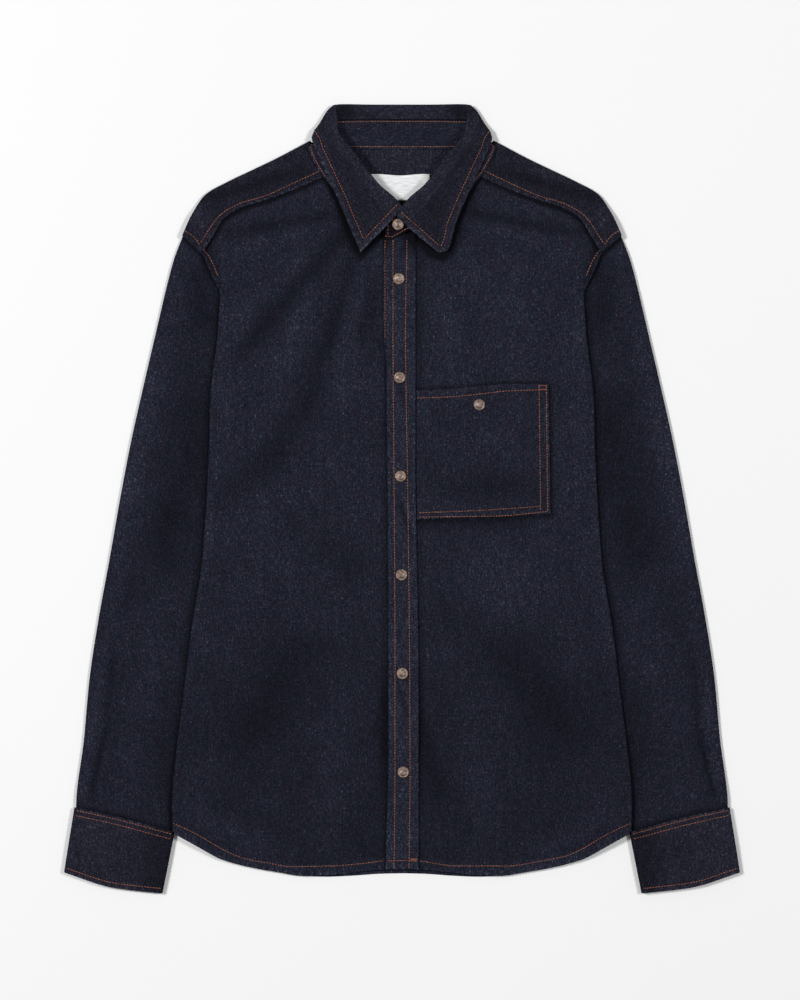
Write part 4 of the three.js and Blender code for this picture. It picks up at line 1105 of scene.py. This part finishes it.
leftPlacketRow = [(-9, 258), (-9, 168), (-8, 18), (-7, -152), (-7, -272), (-8, -370)]
rightPlacketRow = [(5, 258), (3.5, 168), (5.5, 18), (7.5, -152), (8, -272), (7, -370)]
onSurface("placketBand", leftPlacketRow, "placketThread")
onSurface("placketBand", rightPlacketRow, "placketThread")
onSurface("placketBand", [(-15, -362.6), (0, -362.4), (15, -362.8)], "placketThread")
onSurface("placketUnder", [(-16.9, 258), (-16.9, 160)], "placketThread")
for bar in range(3):
    level = -360.6 - 0.8 * bar
    onSurface("placketBand", [(8.5, level), (15, level)], "placketThread", step=1.7)
pocketRows = [[(14.5, 100), (47, 101), (78, 104), (107, 107), (144, 108.3)],
              [(137, 112), (138.5, -12)], [(144.2, 112), (145.6, -13)],
              [(17, -14.7), (78, -12.4), (138.5, -8.4)], [(17, -19), (96, -18), (145.6, -13.5)]]
for row in pocketRows:
    onSurface("chestPocket", row, "pocketThread")
for level in (108.7, 112.4):
    onSurface("chestPocket", [(136, level), (144.8, level)], "pocketThread", step=1.5, long=2.0)


def besideRim(name, side, distance, group, inset=(0, 0), below=False):
    # A row that stays at one distance from a rim of its piece, on the face that looks up or down
    piece = pieces[name]
    spot, face = lineAt(piece["grid"], piece["normal"], side, distance, inset)
    upwards = face * np.sign(face[:, 2:])
    addRow(group, spot, -upwards if below else upwards, piece["half"])


for name in ("cuffRight", "cuffLeft"):
    for side, distance in (("start", 2.6), ("start", 7.6), ("end", 5.0)):
        besideRim(name, side, distance, "cuffThread", (3, 2))

besideRim("collarLeaf", "right", leafShape["rowInset"], "collarThread", (leafShape["endInset"],) * 2)
for side in ("start", "end"):
    besideRim("collarLeaf", side, leafShape["endInset"], "collarThread", (10.5, leafShape["rowInset"]))
besideRim("collarStand", "left", 2.6, "collarThread")
besideRim("collarStand", "right", 1.4, "collarThread")
besideRim("collarStand", "end", 3, "collarThread", (2.6, 1))
# Rows that show when the shirt is turned over: the back's hem, its yoke seam and the cuffs
hemX = np.linspace(-222, 222, 80)
onSurface("backPanel", np.stack([hemX, sample(hemLine, np.abs(hemX), 2) + 8], axis=1), "backThread", below=True)
for away in (2.5, 8.5):
    onSurface("yokeBack", [(-196, backYokeSeam + away), (196, backYokeSeam + away)], "backThread", below=True)
for name in ("cuffRightUnder", "cuffLeftUnder"):
    for side, distance in (("start", 2.6), ("start", 7.6), ("end", 5.0)):
        besideRim(name, side, distance, "backThread", (3, 2), below=True)
for group in list(stitchRows):
    makeStitches(group)
print("stitches made:", {group: sum(len(row) for row in rows) for group, rows in stitchRows.items()})


def makeStudio():
    # A pale floor, a softbox at each side for dark lines under every raised edge, and a pale sky round them
    bpy.ops.mesh.primitive_plane_add(size=6, location=(0, 0, -0.0005))
    floor = bpy.context.object
    floor.name = "floor"
    material, tree, shader = newMaterial("paperSweep")
    shader.inputs["Base Color"].default_value = linear(studio["floorGrey"])
    shader.inputs["Roughness"].default_value = 0.95
    shader.inputs["Specular IOR Level"].default_value = 0.1
    floor.data.materials.append(material)
    for k, (x, y, z, watts) in enumerate(studio["softboxes"]):
        lamp = bpy.data.lights.new(f"softbox{k}", "AREA")
        lamp.energy, lamp.size = watts, studio["softboxSize"]
        box = bpy.data.objects.new(f"softbox{k}", lamp)
        box.location = (x, y, z)
        box.rotation_euler = Vector((x, y, z)).to_track_quat("Z", "Y").to_euler()
        bpy.context.collection.objects.link(box)
    world = bpy.data.worlds.new("paleRoom")
    world.use_nodes = True
    world.node_tree.nodes["Background"].inputs[0].default_value = (1, 1, 1, 1)
    world.node_tree.nodes["Background"].inputs[1].default_value = studio["skyStrength"]
    bpy.context.scene.world = world
    bpy.context.scene.view_settings.view_transform = "Standard"


makeStudio()
print("finished")
